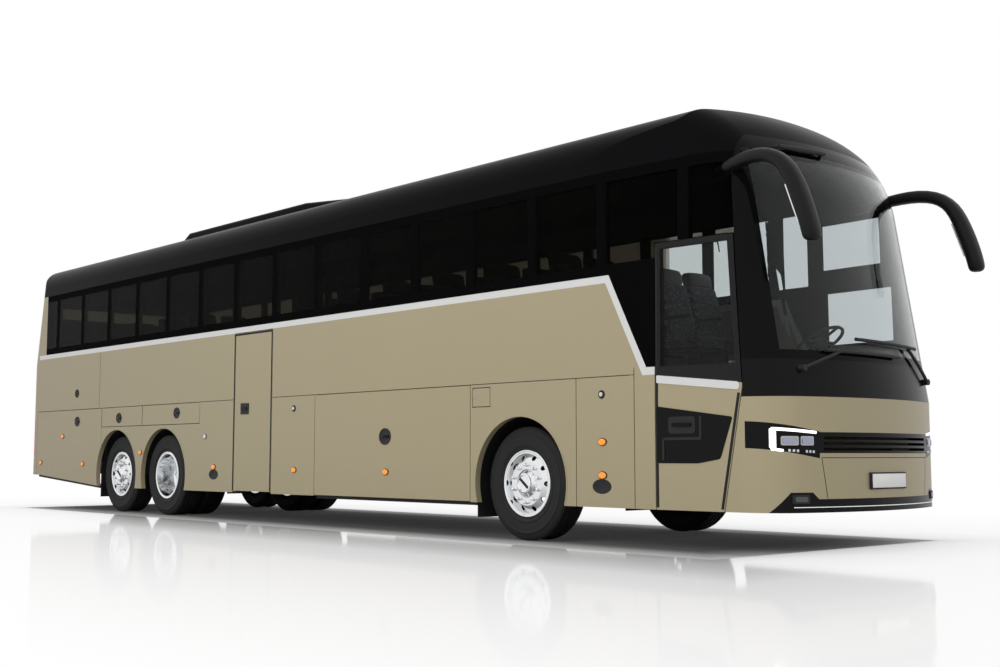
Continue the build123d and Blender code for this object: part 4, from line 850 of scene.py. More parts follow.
@dataclass
class Studio:
    """Pale floor, soft lamps, white surroundings and the camera."""

    eye: Sequence[float] = (12.4326, -9.125, 0.761)
    azimuth: float = 48.01
    pitch: float = 5.45
    lens: float = 46.08
    sensor: float = 36.0
    floor_half: float = 90.0
    # Half size of the coach's footprint, inside which the floor's colour is painted dark as a shadow.
    shadow_half: Point = (6.0, 1.2)
    shaded: Colour = (0.11, 0.11, 0.11)
    pale: Colour = (0.6, 0.6, 0.6)
    lamps: Sequence[tuple] = (
        ("key", (5.0, -15.0, 7.5), (0.5, 0.0, 1.4), (12.0, 6.0), 1500.0),
        ("top", (0.0, -1.0, 12.0), (0.0, 0.0, 0.0), (18.0, 8.0), 700.0),
        ("front", (19.0, -3.0, 6.5), (6.0, 0.0, 1.2), (6.0, 5.0), 500.0),
        ("far", (-5.0, 15.0, 7.0), (0.0, 0.0, 1.4), (14.0, 6.0), 900.0))

    def build(self) -> None:
        """Sets up the camera, floor, surroundings and lamps."""
        self.camera()
        self.floor()
        self.surroundings()
        for row in self.lamps:
            self.lamp(*row)
        view = bpy.context.scene.view_settings
        view.view_transform = "Standard"

    def camera(self) -> None:
        """Camera at the photograph's place."""
        data = bpy.data.cameras.new("view")
        data.lens = self.lens
        data.sensor_width = self.sensor
        data.sensor_fit = "HORIZONTAL"
        data.clip_end = 500.0
        turn, tilt = math.radians(self.azimuth), math.radians(self.pitch)
        ahead = Vector((-math.sin(turn) * math.cos(tilt), math.cos(turn) * math.cos(tilt), math.sin(tilt)))
        right = Vector((math.cos(turn), math.sin(turn), 0.0))
        up = right.cross(ahead)
        camera = bpy.data.objects.new("view", data)
        basis = Matrix((right, up, -ahead)).transposed().to_4x4()
        camera.matrix_world = Matrix.Translation(Vector(self.eye)) @ basis
        bpy.context.scene.collection.objects.link(camera)
        bpy.context.scene.camera = camera

    def floor(self) -> None:
        """Pale floor with a faint gloss, its colour painted dark under the coach as a shadow, and white away
        from it.
        """
        tree = Tree("pale_floor")
        beyond = tree.either(*(tree.math("SUBTRACT", tree.math("ABSOLUTE", axis), half)
                               for axis, half in zip(tree.axes(), self.shadow_half)))
        # Painted shadow: the base colour goes from the dark painted shadow inside the footprint to the pale
        # floor outside it.
        lit = tree.spread(beyond, 0.0, 1.0, -0.2, 0.7)
        tree.set("Base Color", tree.mix(lit, self.shaded, self.pale))
        tree.set("Specular IOR Level", tree.spread(beyond, 0.0, 0.35, 0.4, 1.6))
        tree.set("Roughness", tree.spread(tree.noise(0.7), 0.05, 0.07))
        glow = tree.nodes.new("ShaderNodeEmission")
        near = tree.spread(beyond, 0.03, 0.5, 0.3, 1.7)
        share = tree.math("ADD", near, tree.spread(beyond, 0.0, 0.5, 1.2, 6.0))
        seen = tree.nodes.new("ShaderNodeLightPath")
        camera = tree.math("MULTIPLY", share, seen.outputs["Is Camera Ray"])
        blend = tree.nodes.new("ShaderNodeMixShader")
        tree.links.new(camera, blend.inputs[0])
        tree.links.new(tree.shader.outputs[0], blend.inputs[1])
        tree.links.new(glow.outputs[0], blend.inputs[2])
        tree.links.new(blend.outputs[0], tree.output.inputs["Surface"])
        bm = bmesh.new()
        bmesh.ops.create_grid(bm, x_segments=1, y_segments=1, size=self.floor_half)
        mesh = bpy.data.meshes.new("floor_plane")
        bm.to_mesh(mesh)
        bm.free()
        plane = bpy.data.objects.new("floor_plane", mesh)
        mesh.materials.append(tree.material)
        bpy.context.scene.collection.objects.link(plane)

    def surroundings(self) -> None:
        """White world for what is seen, and a dimmer one for its light."""
        world = bpy.data.worlds.new("studio")
        world.use_nodes = True
        bpy.context.scene.world = world
        nodes, links = world.node_tree.nodes, world.node_tree.links
        nodes.clear()
        output = nodes.new("ShaderNodeOutputWorld")
        background = nodes.new("ShaderNodeBackground")
        background.inputs["Color"].default_value = (1.0, 1.0, 1.0, 1.0)
        path = nodes.new("ShaderNodeLightPath")
        seen = path.outputs["Is Camera Ray"]
        for name in ("Is Glossy Ray", "Is Transmission Ray"):
            either = nodes.new("ShaderNodeMath")
            either.operation = "MAXIMUM"
            links.new(seen, either.inputs[0])
            links.new(path.outputs[name], either.inputs[1])
            seen = either.outputs[0]
        level = nodes.new("ShaderNodeMapRange")
        level.inputs["To Min"].default_value = 0.5
        level.inputs["To Max"].default_value = 1.0
        links.new(seen, level.inputs["Value"])
        links.new(level.outputs["Result"], background.inputs["Strength"])
        links.new(background.outputs[0], output.inputs["Surface"])

    @staticmethod
    def lamp(name: str, place: Sequence[float], aim: Sequence[float], size: Point, power: float) -> None:
        """Soft rectangular lamp, aimed at a point.

        Args:
            name: name of the lamp.
            place: where it hangs.
            aim: point that it lights.
            size: width and height.
            power: power in watts.
        """
        data = bpy.data.lights.new(name, "AREA")
        data.shape = "RECTANGLE"
        data.size, data.size_y = size
        data.energy = power
        lamp = bpy.data.objects.new(name, data)
        lamp.location = place
        lamp.rotation_euler = (Vector(aim) - Vector(place)).to_track_quat("-Z", "Y").to_euler()
        lamp.visible_camera = False
        lamp.visible_glossy = False
        lamp.visible_transmission = False
        bpy.context.scene.collection.objects.link(lamp)


def within(tree: Tree, *spans: tuple[bpy.types.NodeSocket, float, float]) -> bpy.types.NodeSocket:
    """Mask of the place where each value lies between its two limits.

    Args:
        tree: node tree of the material.
        spans: values, each with its lower and upper limit.

    Returns:
        The mask.
    """
    mask = None
    for value, low, high in spans:
        above, below = tree.math("GREATER_THAN", value, low), tree.math("LESS_THAN", value, high)
        inside = tree.math("MULTIPLY", above, below)
        mask = inside if mask is None else tree.math("MULTIPLY", mask, inside)
    return mask


FAR = 9.0
LEFT_HALF = (0.0, 2.0)
CLEAR_START, CAB_START = 3.6, 5.37
PANE_SHIFT, PANE_STEP, PANE_HALF = 7.9, 0.86, 0.375
PANE_FOOT, PANE_HEAD = 2.37, 3.08
DRIVER_PANES = (((5.56, 6.29), (1.79, 2.28)), ((5.52, 6.18), (2.5, 2.93)))
SCREEN_HALF, SCREEN_FOOT, SCREEN_HEAD = 1.03, 1.57, 3.2


def cab_glass(tree: Tree) -> bpy.types.NodeSocket:
    """Mask of the untinted panes beside the driver."""
    x, y, _ = tree.axes()
    return within(tree, (x, CLEAR_START, FAR), (y, *LEFT_HALF))


def side_window_border(tree: Tree) -> bpy.types.NodeSocket:
    """Black print along the edges of the side panes, over their pillars and round the driver's panes.

    Args:
        tree: node tree of the material.

    Returns:
        The mask.
    """
    x, y, z = tree.axes()
    step = tree.math("PINGPONG", tree.math("ADD", x, PANE_SHIFT), PANE_STEP)
    off = tree.math("ABSOLUTE", tree.math("SUBTRACT", step, PANE_STEP / 2))
    border = tree.either(tree.math("GREATER_THAN", off, PANE_HALF), tree.math("LESS_THAN", z, PANE_FOOT),
                         tree.math("GREATER_THAN", z, PANE_HEAD))
    cab = within(tree, (x, CAB_START, FAR), (y, *LEFT_HALF))
    panes = tree.either(*(within(tree, (x, *wide), (z, *high)) for wide, high in DRIVER_PANES))
    return tree.math("SUBTRACT", tree.either(cab, border), tree.math("MULTIPLY", cab, panes))


def windscreen_border(tree: Tree) -> bpy.types.NodeSocket:
    """Black print round the windscreen, deeper at its foot and head.

    Args:
        tree: node tree of the material.

    Returns:
        The mask.
    """
    _, y, z = tree.axes()
    side = tree.math("GREATER_THAN", tree.math("ABSOLUTE", y), SCREEN_HALF)
    return tree.either(side, tree.math("LESS_THAN", z, SCREEN_FOOT),
                       tree.math("GREATER_THAN", z, SCREEN_HEAD))


class Glazing:
    """Finishes of the panes."""

    SIDE = Glass("side_pane", (0.14, 0.133, 0.108), 0.01, specular=0.05, border=side_window_border,
                 untinted=cab_glass, ior=1.07)
    FRONT = Glass("windscreen_pane", (0.62, 0.65, 0.66), 0.01, specular=0.2, border=windscreen_border,
                  ior=1.26)
    DOOR = Glass("door_pane", (0.60, 0.63, 0.63), 0.01, specular=0.2, ior=1.2)


@dataclass
class Body:
    """Finishes of the CAD nodes."""

    frame: dict
    finishes: dict = field(default_factory=lambda: {
        Palette.GOLD: ("waist_panels", "skirt_panels", "front_panel", "rear_wall", "engine_lid", "exit_door",
                       *LIDS),
        Palette.DOOR: ("entry_door",),
        Palette.MOULDING: ("belt_mouldings",),
        Palette.ROOF: ("roof", "air_conditioner"),
        Palette.BLACK: ("front_trim", "headlamps", "mirrors"),
        Palette.RED: ("tail_lamps",),
        Palette.CHASSIS: ("lid_frames", "underframe", "axles"),
        Palette.PLASTIC: ("wheel_housings", "steering_wheel", "wipers"),
        Palette.RUBBER: ("mud_flaps",),
        Palette.IRON: ("engine", "front_knuckle_right", "front_knuckle_left", "tag_knuckle_right",
                       "tag_knuckle_left"),
        Palette.FLOOR: ("floor",),
        Palette.DASH: ("dashboard",),
        Palette.LINING: ("parcel_racks",),
        Palette.CLOTH: ("seats",),
        Palette.STEEL: ("entry_door_arms", "exit_door_arms"),
        Palette.TYRE: ("front_tyre_right", "front_tyre_left", "tag_tyre_right", "tag_tyre_left",
                       "drive_tyres_right", "drive_tyres_left"),
        Palette.ALLOY: ("front_rim_right", "front_rim_left", "tag_rim_right", "tag_rim_left",
                        "drive_rims_right", "drive_rims_left"),
        Glazing.SIDE: ("windows",),
        Glazing.FRONT: ("windscreen",),
        Glazing.DOOR: ("entry_door_window",),
    })

    def dress(self) -> None:
        """Gives every node its material."""
        for finish, names in self.finishes.items():
            for name in names:
                node = self.frame["nodes"][name]
                node.data.materials.clear()
                node.data.materials.append(finish.material())
                LOG.info("%s in %s", name, finish.name)


@dataclass
class Wheels:
    """Tyres with a moulded tread, wheel nuts, hub caps and rim lips."""

    places: Places
    tyre_radius: float = 0.512
    tyre_half: float = 0.146
    bead_radius: float = 0.287
    block: float = 0.008
    shoulder: float = 0.086
    groove: float = 0.006
    gap: float = 0.0032
    margin: float = 0.0032
    slant: float = 0.3
    single_y: float = 1.05
    twin_y: float = 1.075
    twin_step: float = 0.335
    nut_circle: float = 0.1675
    nuts: int = 10
    steps: int = 96

    def build(self) -> None:
        """Builds every wheel."""
        for side in Side:
            word = side.word
            for end, x in (("front", self.places.front_axle), ("tag", self.places.tag_axle)):
                body = f"{end}_wheel_{word}"
                centre = Vector((x, side.value * self.single_y, self.places.hub))
                self.tyres(f"{end}_tread_{word}", [centre], side, body, f"{end}_tyre_{word}", False)
                self.single_dress(f"{end}_{word}", centre, side, body)
            body = f"drive_wheels_{word}"
            outer = Vector((self.places.drive_axle, side.value * self.twin_y, self.places.hub))
            inner = outer - side.out * self.twin_step
            self.tyres(f"drive_treads_{word}", [outer, inner], side, body, f"drive_tyres_{word}", True)
            self.twin_dress(f"drive_{word}", outer, side, body)

    def half_profile(self) -> list[Point]:
        """Outline of half a tyre, from the bead over the sidewall to the tread's middle.

        Returns:
            (radius, half width) points.
        """
        w, crown = self.tyre_half, self.tyre_radius - self.block
        side = [(self.bead_radius, w - 0.034), (self.bead_radius + 0.012, w - 0.024), (0.322, w - 0.014),
                (0.338, w - 0.0065), (0.343, w - 0.001), (0.349, w - 0.001), (0.354, w - 0.005),
                (0.39, w - 0.0005), (0.42, w), (0.434, w + 0.0005), (0.438, w + 0.003),
                (0.446, w + 0.003), (0.45, w - 0.001), (0.468, w - 0.006), (0.485, w - 0.0115),
                (crown - 0.006, w - 0.019), (crown - 0.002, w - 0.027)]
        tread = []
        for mid in (0.079, 0.028):
            tread += [(crown, mid + self.groove), (crown - 0.006, mid + self.groove * 0.6),
                      (crown - 0.006, mid - self.groove * 0.6), (crown, mid - self.groove)]
        return side + tread

    def tyres(self, name: str, centres: Sequence[Vector], side: Side, body: str, node: str,
              lugs: bool) -> None:
        """Tyres of one wheel.

        Args:
            name: name of the piece.
            centres: wheel centres, one for each tyre.
            side: side of the coach.
            body: body that turns with the wheel.
            node: CAD tyre that it replaces.
            lugs: whether the whole tread is cut into blocks, or only its shoulders.
        """
        half = self.half_profile()
        profile = half + [(radius, -height) for radius, height in reversed(half)]
        profile.append(profile[0])
        piece = Piece(name)
        for centre in centres:
            made = piece.turned(profile, centre, side.out, self.steps)
            faces = {face for vertex in made for face in vertex.link_faces}
            tread = [face for face in faces if self.on_tread(face, centre, lugs)]
            bmesh.ops.inset_individual(piece.bm, faces=tread, thickness=self.gap, depth=self.block - 0.001,
                                       use_even_offset=True)
        piece.done(Palette.TYRE, body, [node])

    def on_tread(self, face: bmesh.types.BMFace, centre: Vector, lugs: bool) -> bool:
        """Whether a face is part of a tread block.

        Args:
            face: face to test.
            centre: middle of the wheel.
            lugs: whether the whole tread is cut into blocks.

        Returns:
            True for a face of a block.
        """
        middle = face.calc_center_median() - centre
        radius = math.hypot(middle.x, middle.z)
        if radius < self.tyre_radius - self.block - self.margin or abs(face.normal.y) > self.slant:
            return False
        return lugs or abs(middle.y) > self.shoulder

    @staticmethod
    def ring(count: int, centre: Vector, radius: float) -> list[Matrix]:
        """Places of repeated parts round a wheel.

        Args:
            count: number of parts.
            centre: middle of the wheel.
            radius: radius of the circle.

        Returns:
            A matrix for each part.
        """
        places = []
        for n in range(count):
            angle = math.tau * (n + 0.5) / count
            shift = Vector((math.cos(angle), 0.0, math.sin(angle))) * radius
            places.append(Matrix.Translation(centre + shift))
        return places

    def nut_set(self, name: str, face: Vector, side: Side, body: str) -> None:
        """Domed wheel nuts on their washers.

        Args:
            name: name of the piece.
            face: middle of the face that they sit on.
            side: side of the coach.
            body: body that it rides on.
        """
        piece = Piece(name)
        shape = [(0.0, -0.004), (0.021, -0.004), (0.021, 0.004), (0.0165, 0.006), (0.0165, 0.026),
                 (0.0145, 0.033), (0.009, 0.037), (0.0, 0.038)]
        piece.turned(shape, (0, 0, 0), side.out, 14)
        piece.copies(self.ring(self.nuts, face, self.nut_circle))
        piece.done(Palette.CHROME, body)

    def lip(self, name: str, centre: Vector, side: Side, body: str) -> None:
        """Rolled flange that holds the tyre's bead.

        Args:
            name: name of the piece.
            centre: middle of the wheel.
            side: side of the coach.
            body: body that it rides on.
        """
        piece = Piece(name)
        shape = [(0.281, 0.118), (0.281, 0.130), (0.285, 0.1345), (0.292, 0.1365), (0.299, 0.1355),
                 (0.3035, 0.131), (0.303, 0.125), (0.297, 0.118), (0.281, 0.118)]
        piece.turned(shape, centre, side.out, 64)
        piece.done(Palette.ALLOY, body)

    def single_dress(self, name: str, centre: Vector, side: Side, body: str) -> None:
        """Polished face of a single wheel: nuts, hub cap with its bar, and lip.

        Args:
            name: start of the pieces' names.
            centre: middle of the wheel.
            side: side of the coach.
            body: body that it rides on.
        """
        axis = side.out
        self.nut_set(f"{name}_nuts", centre + axis * 0.13, side, body)
        self.lip(f"{name}_lip", centre, side, body)
        cap = Piece(f"{name}_cap")
        shape = [(0.0, 0.158), (0.0905, 0.158), (0.0915, 0.161), (0.0885, 0.168), (0.078, 0.174),
                 (0.072, 0.173), (0.068, 0.166), (0.0, 0.165)]
        cap.turned(shape, centre, axis, 48)
        cap.done(Palette.CHROME, body)
        bar = Piece(f"{name}_cap_bar")
        bar.box((-0.066, -0.005, -0.011), (0.066, 0.005, 0.011), 0.003)
        turn = Matrix.Rotation(math.radians(-38.0 * side.value), 4, "Y")
        bar.copies([Matrix.Translation(centre + axis * 0.168) @ turn])
        bar.done(Palette.PLASTIC, body)

    def twin_dress(self, name: str, outer: Vector, side: Side, body: str) -> None:
        """Deep face of a twin wheel: nuts on the sunk disc, lip and hub flange.

        Args:
            name: start of the pieces' names.
            outer: middle of the outer wheel.
            side: side of the coach.
            body: body that it rides on.
        """
        axis = side.out
        disc = outer - axis * (self.twin_step / 2 - 0.014)
        self.nut_set(f"{name}_nuts", disc, side, body)
        self.lip(f"{name}_lip", outer, side, body)
        hub = Piece(f"{name}_hub_flange")
        shape = [(0.0, 0.104), (0.091, 0.104), (0.0925, 0.108), (0.089, 0.112), (0.0, 0.114)]
        hub.turned(shape, disc, axis, 48)
        hub.done(Palette.CHROME, body)
        studs = Piece(f"{name}_hub_bolts")
        bolt = [(0.0, -0.004), (0.0075, -0.004), (0.0075, 0.006), (0.005, 0.008), (0.0, 0.008)]
        studs.turned(bolt, (0, 0, 0), axis, 8)
        studs.copies(self.ring(8, disc + axis * 0.112, 0.07))
        studs.done(Palette.STEEL, body)


@dataclass
class SideFittings:
    """Seams, handles, lamps and flaps along the right side, and their like on the left."""

    places: Places
    skin: Skin
    seam: float = 0.007
    flap_seam: float = 1.423
    arch_radius: float = 0.598
    arch_lip: float = 0.012
    arch_depth: float = 0.03
    arch_proud: float = 0.003

    def button(self, name: str, place: Point, side: Side, shape: Sequence[Point], finish: Finish, body: str,
               stretch: float = 1.0) -> None:
        """Round fitting turned about the side's normal.

        Args:
            name: name of the piece.
            place: (ahead of the front axle, height).
            side: side of the coach.
            shape: (radius, height) outline.
            finish: its finish.
            body: body that it rides on.
            stretch: how much wider than high it is.
        """
        spot, normal = self.skin.hit(side.facing, self.places.at(place[0]), place[1])
        piece = Piece(name)
        piece.turned(shape, (0, 0, 0), normal, 28)
        grow = Matrix.Diagonal((stretch, 1.0, 1.0, 1.0))
        piece.copies([Matrix.Translation(spot) @ grow])
        piece.done(finish, body)

    def marker(self, name: str, place: Point, side: Side, body: str, finish: Finish = Palette.AMBER,
               stretch: float = 1.5) -> None:
        """Small side lamp: a dark base with a domed lens.

        Args:
            name: start of the pieces' names.
            place: (ahead of the front axle, height).
            side: side of the coach.
            body: body that it rides on.
            finish: its finish.
            stretch: how much wider than high it is.
        """
        base = [(0.0, -0.002), (0.034, -0.002), (0.034, 0.004), (0.031, 0.006), (0.0, 0.006)]
        lens = [(0.0, 0.004), (0.028, 0.004), (0.0275, 0.011), (0.022, 0.016), (0.0, 0.0175)]
        self.button(f"{name}_base", place, side, base, Palette.PLASTIC, body, stretch)
        self.button(f"{name}_lens", place, side, lens, finish, body, stretch)

    def handle(self, name: str, place: Point, side: Side, body: str, radius: float = 0.085,
               stretch: float = 1.15) -> None:
        """Sunk round handle: a black bowl with a grip across it.

        Args:
            name: start of the pieces' names.
            place: (ahead of the front axle, height).
            side: side of the coach.
            body: body that it rides on.
            radius: radius of the bowl.
            stretch: how much wider than high it is.
        """
        bowl = [(0.0, -0.003), (radius, -0.003), (radius, 0.005), (radius * 0.93, 0.008),
                (radius * 0.84, 0.006), (radius * 0.78, 0.0015), (0.0, 0.0012)]
        self.button(f"{name}_bowl", place, side, bowl, Palette.PLASTIC, body, stretch)
        spot, normal = self.skin.hit(side.facing, self.places.at(place[0]), place[1])
        grip = Piece(f"{name}_grip")
        reach = radius * 0.66 * stretch
        low = spot + Vector((-reach, 0, -radius * 0.16))
        high = spot + Vector((reach, 0, radius * 0.16))
        low.y, high.y = sorted((spot.y - normal.y * 0.002, spot.y + normal.y * 0.009))
        grip.box(low, high, 0.004)
        grip.done(Palette.BLACK, body)

    def oval(self, name: str, place: Point, side: Side, body: str) -> None:
        """Flat dark oval cover near the skirt's foot.

        Args:
            name: name of the piece.
            place: (ahead of the front axle, height).
            side: side of the coach.
            body: body that it rides on.
        """
        shape = [(0.0, -0.003), (0.062, -0.003), (0.062, 0.0015), (0.058, 0.0028), (0.05, 0.0024),
                 (0.046, 0.001), (0.0, 0.0009)]
        self.button(name, place, side, shape, Palette.PLASTIC, body, 1.75)

    def knob(self, name: str, place: Point, side: Side, body: str) -> None:
        """Small turn knob with a bright middle.

        Args:
            name: start of the pieces' names.
            place: (ahead of the front axle, height).
            side: side of the coach.
            body: body that it rides on.
        """
        rose = [(0.0, -0.002), (0.036, -0.002), (0.036, 0.005), (0.032, 0.008), (0.0, 0.008)]
        stud = [(0.0, 0.006), (0.019, 0.006), (0.019, 0.014), (0.015, 0.018), (0.0, 0.018)]
        self.button(f"{name}_rose", place, side, rose, Palette.PLASTIC, body)
        self.button(f"{name}_stud", place, side, stud, Palette.MOULDING, body, 1.0)

    def line(self, name: str, path: Sequence[Point], side: Side, body: str = "coach",
             width: Optional[float] = None) -> None:
        """Dark seam along a path of (ahead, height) points.

        Args:
            name: name of the piece.
            path: (ahead, height) points along its middle.
            side: side of the coach.
            body: body that it rides on.
            width: width of the seam, where it isn't the usual one.
        """
        piece = Piece(name)
        piece.ribbon(self.skin, side.facing, self.places.path(path), width or self.seam, 0.0006, 0.003)
        piece.done(Palette.PLASTIC, body)

    def build(self) -> None:
        """Fits out both sides."""
        right, left = Side.RIGHT, Side.LEFT
        self.knob("service_knob_right", (1.024, 1.274), right, "coach")
        self.marker("service_marker_high_right", (1.029, 0.875), right, "coach")
        self.marker("service_marker_low_right", (1.03, 0.596), right, "coach")
        self.oval("service_cover_right", (1.02, 0.504), right, "coach")
        self.handle("luggage_handle_right", (-2.0, 0.954), right, "luggage_lid_right")
        self.marker("luggage_marker_right", (-1.986, 0.596), right, "luggage_lid_right")
        self.knob("panel_knob_right", (-3.69, 1.284), right, "coach")
        self.marker("panel_marker_right", (-3.672, 0.602), right, "coach")
        self.handle("locker_handle_front_right", (-6.401, 1.301), right, "locker_lid_right_front", 0.07)
        self.handle("locker_handle_rear_right", (-8.036, 1.273), right, "locker_lid_right_rear", 0.07)
        self.marker("door_lamp_right", (-5.665, 0.995), right, "coach", Palette.CLEAR_LENS, 1.0)
        self.marker("skirt_marker_right", (-5.443, 0.623), right, "coach")
        self.oval("skirt_cover_right", (-5.443, 0.535), right, "coach")
        self.marker("bogie_marker_right", (-7.376, 0.802), right, "coach", stretch=1.2)
        self.handle("waist_cover_right", (-9.411, 1.656), right, "coach", 0.06, 1.0)
        self.handle("quarter_handle_right", (-9.375, 1.251), right, "quarter_lid_right", 0.07)
        self.marker("quarter_marker_a_right", (-9.86, 1.04), right, "quarter_lid_right")
        self.marker("quarter_marker_b_right", (-10.625, 0.658), right, "quarter_lid_right")
        self.marker("quarter_marker_c_right", (-9.151, 0.642), right, "quarter_lid_right")
        for lid, ahead in (("luggage_lid_left_front", -2.0), ("luggage_lid_left_rear", -4.14)):
            self.handle(f"{lid}_handle", (ahead, 0.954), left, lid)
            self.marker(f"{lid}_marker", (ahead, 0.596), left, lid)
        self.handle("quarter_handle_left", (-9.375, 1.251), left, "quarter_lid_left", 0.07)
        self.marker("quarter_marker_b_left", (-10.4, 0.658), left, "quarter_lid_left")
        self.marker("quarter_marker_c_left", (-9.151, 0.642), left, "quarter_lid_left")
        self.knob("service_knob_left", (1.024, 1.274), left, "coach")
        self.marker("service_marker_left", (1.03, 0.596), left, "coach")
        for side in Side:
            word = side.word
            self.line(f"service_seam_rear_{word}", [(0.721, 0.335), (0.721, 1.425)], side)
            self.line(f"service_seam_front_{word}", [(1.389, 0.335), (1.389, 1.48)], side)
            self.line(f"waist_seam_{word}", [(-8.668, 1.435), (-8.668, 2.21)], side)
            self.line(f"flap_seam_{word}", [(-0.66, self.flap_seam), (1.389, self.flap_seam)], side)
            self.fuel_flap(side)
            self.arches(side)
        self.line("middle_seam_right", [(-4.14, self.flap_seam), (-3.285, self.flap_seam)], right)
        self.line("bogie_seam_right", [(-5.8, self.flap_seam), (-5.01, self.flap_seam)], right)

    def fuel_flap(self, side: Side) -> None:
        """Square flap with its seam and a small lock.

        Args:
            side: side of the coach.
        """
        word = side.word
        x0, x1, z0, z1 = -0.642, -0.394, 1.213, 1.39
        path = [(x0, z0), (x1, z0), (x1, z1), (x0, z1), (x0, z0)]
        self.line(f"fuel_seam_{word}", path, side, width=0.006)
        lock = [(0.0, -0.002), (0.012, -0.002), (0.012, 0.003), (0.009, 0.005), (0.0, 0.005)]
        self.button(f"fuel_lock_{word}", (x0 + 0.03, 1.31), side, lock, Palette.STEEL, "coach")

    def arches(self, side: Side) -> None:
        """Rolled edges round the wheel arches.

        Args:
            side: side of the coach.
        """
        places = self.places
        y = side.value * places.half_width
        back, front = y - side.value * self.arch_depth, y + side.value * self.arch_proud
        for name, x, sweep in (("front", places.front_axle, 1.86), ("drive", places.drive_axle, 1.2),
                               ("tag", places.tag_axle, 1.2)):
            piece = Piece(f"{name}_arch_edge_{side.word}")
            start = x + self.arch_radius
            outline = rectangle(start, start + self.arch_lip, back, front)
            verts = [piece.bm.verts.new((a, b, places.hub)) for a, b in outline]
            face = piece.bm.faces.new(verts)
            centre = Vector((x, y, places.hub))
            turn = Matrix.Rotation(sweep - math.pi / 2, 3, "Y")
            bmesh.ops.rotate(piece.bm, verts=verts, cent=centre, matrix=turn)
            geometry = verts + list(face.edges) + [face]
            bmesh.ops.spin(piece.bm, geom=geometry, cent=centre, axis=(0, 1, 0), angle=-2 * sweep, steps=48,
                           use_merge=False)
            bmesh.ops.recalc_face_normals(piece.bm, faces=piece.bm.faces[:])
            piece.done(Palette.GOLD, "coach")


@dataclass
class FrontEnd:
    """Headlamp units, bumper insert, plate and seams of the front, both halves alike."""

    skin: Skin
    plate_middle: Point = (0.0, 0.565)
    plate_size: Point = (0.48, 0.108)

    def build(self) -> None:
        """Fits out the front."""
        for side in Side:
            self.headlamp(side)
            self.fog_lamp(side)
            self.seams(side)
        self.insert()
        self.plate()

    def plates(self, name: str, outlines: Sequence[Sequence[Point]], proud: float, finish: Finish,
               corner: float = 0.0, sink: float = 0.004) -> None:
        """Plates on the front's skin.

        Args:
            name: name of the piece.
            outlines: outlines of (y, z) points.
            proud: height over the skin.
            finish: their finish.
            corner: radius of their corners.
            sink: depth of their backs.
        """
        piece = Piece(name)
        for outline in outlines:
            piece.patch(self.skin, Facing.FRONT, outline, proud, sink, 0.045, corner)
        piece.done(finish, "coach")

    def headlamp(self, side: Side) -> None:
        """Daylight guide, two lens boxes and a row of small lamps on the black panel.

        Args:
            side: side of the coach.
        """
        s, word = side.value, side.word
        guide = [[(s * 0.80, 0.926), (s * 1.125, 0.953), (s * 1.125, 0.976), (s * 0.80, 0.947)],
                 [(s * 1.1, 0.812), (s * 1.132, 0.818), (s * 1.132, 0.968), (s * 1.1, 0.962)],
                 [(s * 1.06, 0.79), (s * 1.126, 0.8), (s * 1.126, 0.82), (s * 1.06, 0.81)]]
        self.plates(f"daylight_guide_{word}", guide, 0.006, Palette.DAYLIGHT, 0.008)
        for n, (y0, y1) in enumerate(((0.955, 1.075), (0.825, 0.94))):
            self.plates(f"lens_frame_{word}_{n}", [rectangle(y0, y1, 0.838, 0.908, s)], 0.003,
                        Palette.STEEL, 0.012)
            self.plates(f"lens_{word}_{n}", [rectangle(y0 + 0.012, y1 - 0.012, 0.85, 0.896, s)], 0.009,
                        Palette.LENS, 0.014)
        row = [rectangle(y, y + 0.016, 0.792 - (1.05 - y) * 0.05, 0.812 - (1.05 - y) * 0.05, s)
               for y in (0.82, 0.85, 0.88, 0.955, 0.985, 1.015)]
        self.plates(f"lamp_row_{word}", row, 0.004, Palette.CLEAR_LENS, 0.004)

    def fog_lamp(self, side: Side) -> None:
        """Fog lamp in the raised end of the lower insert.

        Args:
            side: side of the coach.
        """
        word = side.word
        self.plates(f"fog_frame_{word}", [rectangle(0.872, 1.012, 0.398, 0.466, side.value)], 0.0075,
                    Palette.PLASTIC, 0.012)
        self.plates(f"fog_lens_{word}", [rectangle(0.892, 0.992, 0.412, 0.452, side.value)], 0.0105,
                    Palette.FOG, 0.01)

    def insert(self) -> None:
        """Bright line along the black lower insert."""
        piece = Piece("bumper_line")
        piece.ribbon(self.skin, Facing.FRONT, [(-1.0, 0.372), (0.0, 0.372), (1.0, 0.372)], 0.006, 0.009)
        piece.done(Palette.CHROME, "coach")

    def plate(self) -> None:
        """Blank plate in its holder."""
        (y, z), (wide, high) = self.plate_middle, self.plate_size
        spot, _ = self.skin.hit(Facing.FRONT, y, z)
        holder = Piece("plate_holder")
        x = spot.x + 0.004
        holder.box((x - 0.03, y - wide / 2 - 0.012, z - high / 2 - 0.012),
                   (x + 0.008, y + wide / 2 + 0.012, z + high / 2 + 0.012), 0.005)
        holder.done(Palette.PLASTIC)
        sheet = Piece("plate")
        sheet.box((x + 0.004, y - wide / 2, z - high / 2), (x + 0.0115, y + wide / 2, z + high / 2), 0.002)
        sheet.done(Palette.PLATE, "coach")

    def seams(self, side: Side) -> None:
        """Dark seams round the bumper's middle panel, and the ledge under the grille.

        Args:
            side: side of the coach.
        """
        s, word = side.value, side.word
        piece = Piece(f"bumper_seam_{word}")
        piece.ribbon(self.skin, Facing.FRONT, [(s * 0.752, 0.742), (s * 0.705, 0.44)], 0.006, 0.0006)
        piece.done(Palette.PLASTIC)
        ledge = rectangle(0.0, 0.75, 0.742, 0.748, s)
        self.plates(f"bumper_ledge_seam_{word}", [ledge], 0.0006, Palette.PLASTIC)


